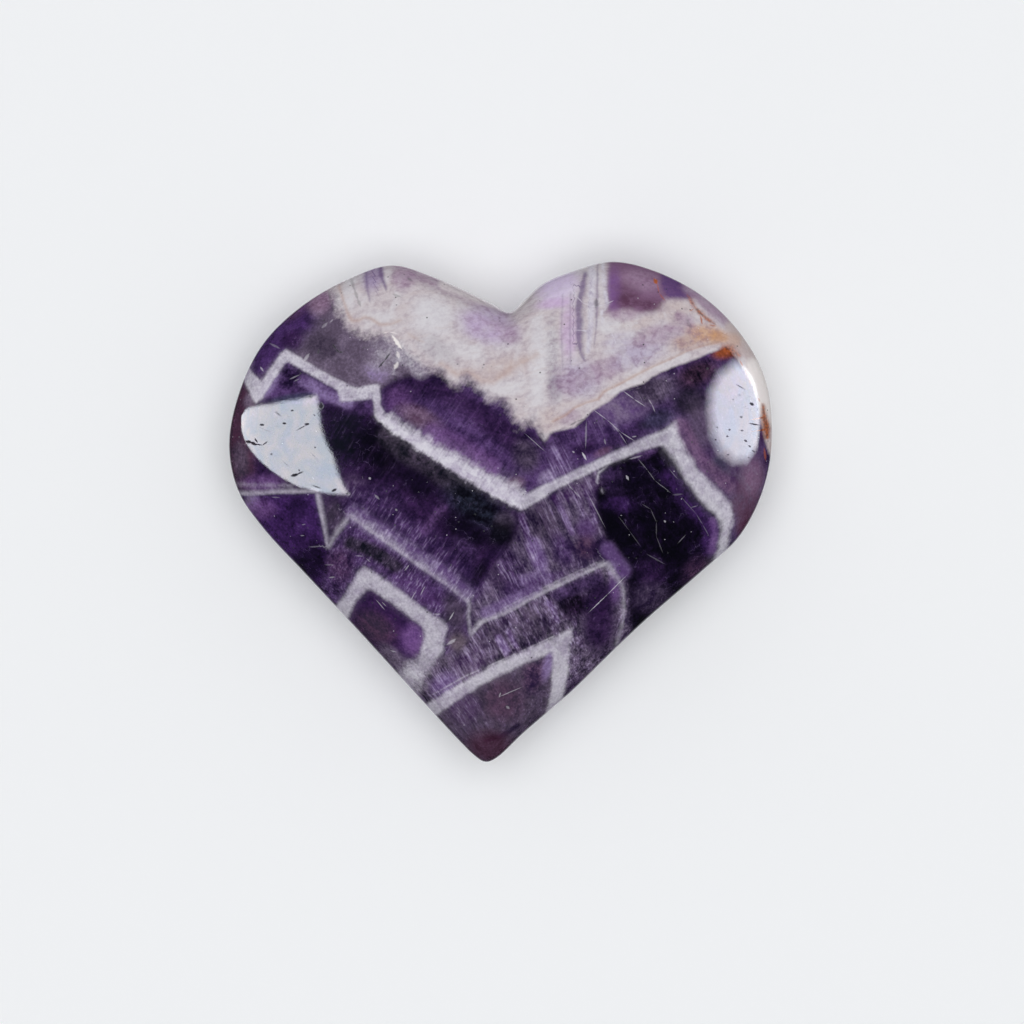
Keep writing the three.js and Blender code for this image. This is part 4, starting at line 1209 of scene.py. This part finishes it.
# Where things are, at the given reach from the stone, whose mirror images are at these spots of
# the pattern's plan: each place's line to the point above, turned over at the normal there.
def mirrored(spots, reach):
    count = len(stone.data.vertices)
    places, normals = np.empty(count * 3), np.empty(count * 3)
    stone.data.vertices.foreach_get("co", places)
    stone.data.vertices.foreach_get("normal", normals)
    places, normals = places.reshape(-1, 3) / mm, normals.reshape(-1, 3)
    front = places[:, 2] > heartShape["rimHeight"]
    places, normals = places[front], normals[front]
    eye = np.array([*pattern["eyeMiddle"], heartShape["rimHeight"] + pattern["eyeRise"]])
    found = []
    for spot in spots:
        distance = np.linalg.norm(planFromAbove(places) - spot, axis=1)
        close = distance.argsort()[:4]
        share = 1 / (distance[close] + 0.01)
        place, normal = share @ places[close] / share.sum(), share @ normals[close]
        normal /= np.linalg.norm(normal)
        toEye = (eye - place) / np.linalg.norm(eye - place)
        found.append(place + reach * (2 * (normal @ toEye) * normal - toEye))
    return np.array(found)


# A glowing panel: its middle, then a ring that is as bright, then its rim, where it fades.
def makeBox(name, box):
    rim = mirrored(box["outline"], box["reach"])
    middle = rim.mean(0)
    inner = middle + (rim - middle) * (1 - box["soft"])
    count = len(rim)
    spots = np.vstack([middle, inner, rim]) * mm
    sides = [(k, (k + 1) % count) for k in range(count)]
    faces = [(0, 1 + a, 1 + b) for a, b in sides]
    faces += [(1 + a, 1 + count + a, 1 + count + b, 1 + b) for a, b in sides]
    mesh = bpy.data.meshes.new(name)
    mesh.from_pydata(spots.tolist(), [], faces)
    glow = mesh.attributes.new("glow", "FLOAT", "POINT")
    glow.data.foreach_set("value", np.r_[np.ones(1 + count), np.zeros(count)].astype(np.float32))
    material = bpy.data.materials.new(name)
    material.use_nodes = True
    material.node_tree.nodes.clear()
    start = Wire(material.node_tree)
    amount = start.node("ShaderNodeAttribute", {"attribute_name": "glow"}, {}, "Fac")
    place = start.node("ShaderNodeTexCoord", {}, {}, "Object")
    patchy = place.node("ShaderNodeTexNoise", {}, {
        "Vector": place, "Scale": 11.0, "Detail": 6.0, "Roughness": 0.65, "Distortion": 1.2})
    patchy = patchy.step(0.32, 0.68)
    tint = amount.mix((0, 0, 0, 1), patchy.mix((*box["tint"], 1), (*box["blush"], 1)))
    light = start.node("ShaderNodeEmission", {}, {"Color": tint, "Strength": box["strength"]})
    start.node("ShaderNodeOutputMaterial", {}, {"Surface": light})
    mesh.materials.append(material)
    panel = bpy.data.objects.new(name, mesh)
    bpy.context.scene.collection.objects.link(panel)
    panel.visible_camera = panel.visible_diffuse = panel.visible_shadow = False


# An even sky. The polish shows it dim overhead and bright from below, beside the floor.
def makeWorld():
    world = bpy.data.worlds.new("room")
    world.use_nodes = True
    tree = world.node_tree
    tree.nodes.clear()
    start = Wire(tree)
    glossy = start.node("ShaderNodeLightPath", {}, {}, "Is Glossy Ray")
    down = 0 - start.node("ShaderNodeTexCoord", {}, {}, "Generated").part(2)
    gloss = down.step(0.8, 0.96, room["worldGloss"], room["rimGloss"])
    strength = glossy * (gloss - room["worldLight"]) + room["worldLight"]
    background = start.node("ShaderNodeBackground", {}, {
        "Color": (*room["worldInk"], 1), "Strength": strength})
    start.node("ShaderNodeOutputWorld", {}, {"Surface": background})
    bpy.context.scene.world = world


makeFloor()
makeCamera()
makeOverhead("key", room["keyPower"], True)
makeOverhead("fill", room["fillPower"], False)
for name, box in boxes.items():
    makeBox(name, box)
makeWorld()
bpy.context.scene.view_settings.view_transform = "Standard"
print("room: floor, camera and lights are up")
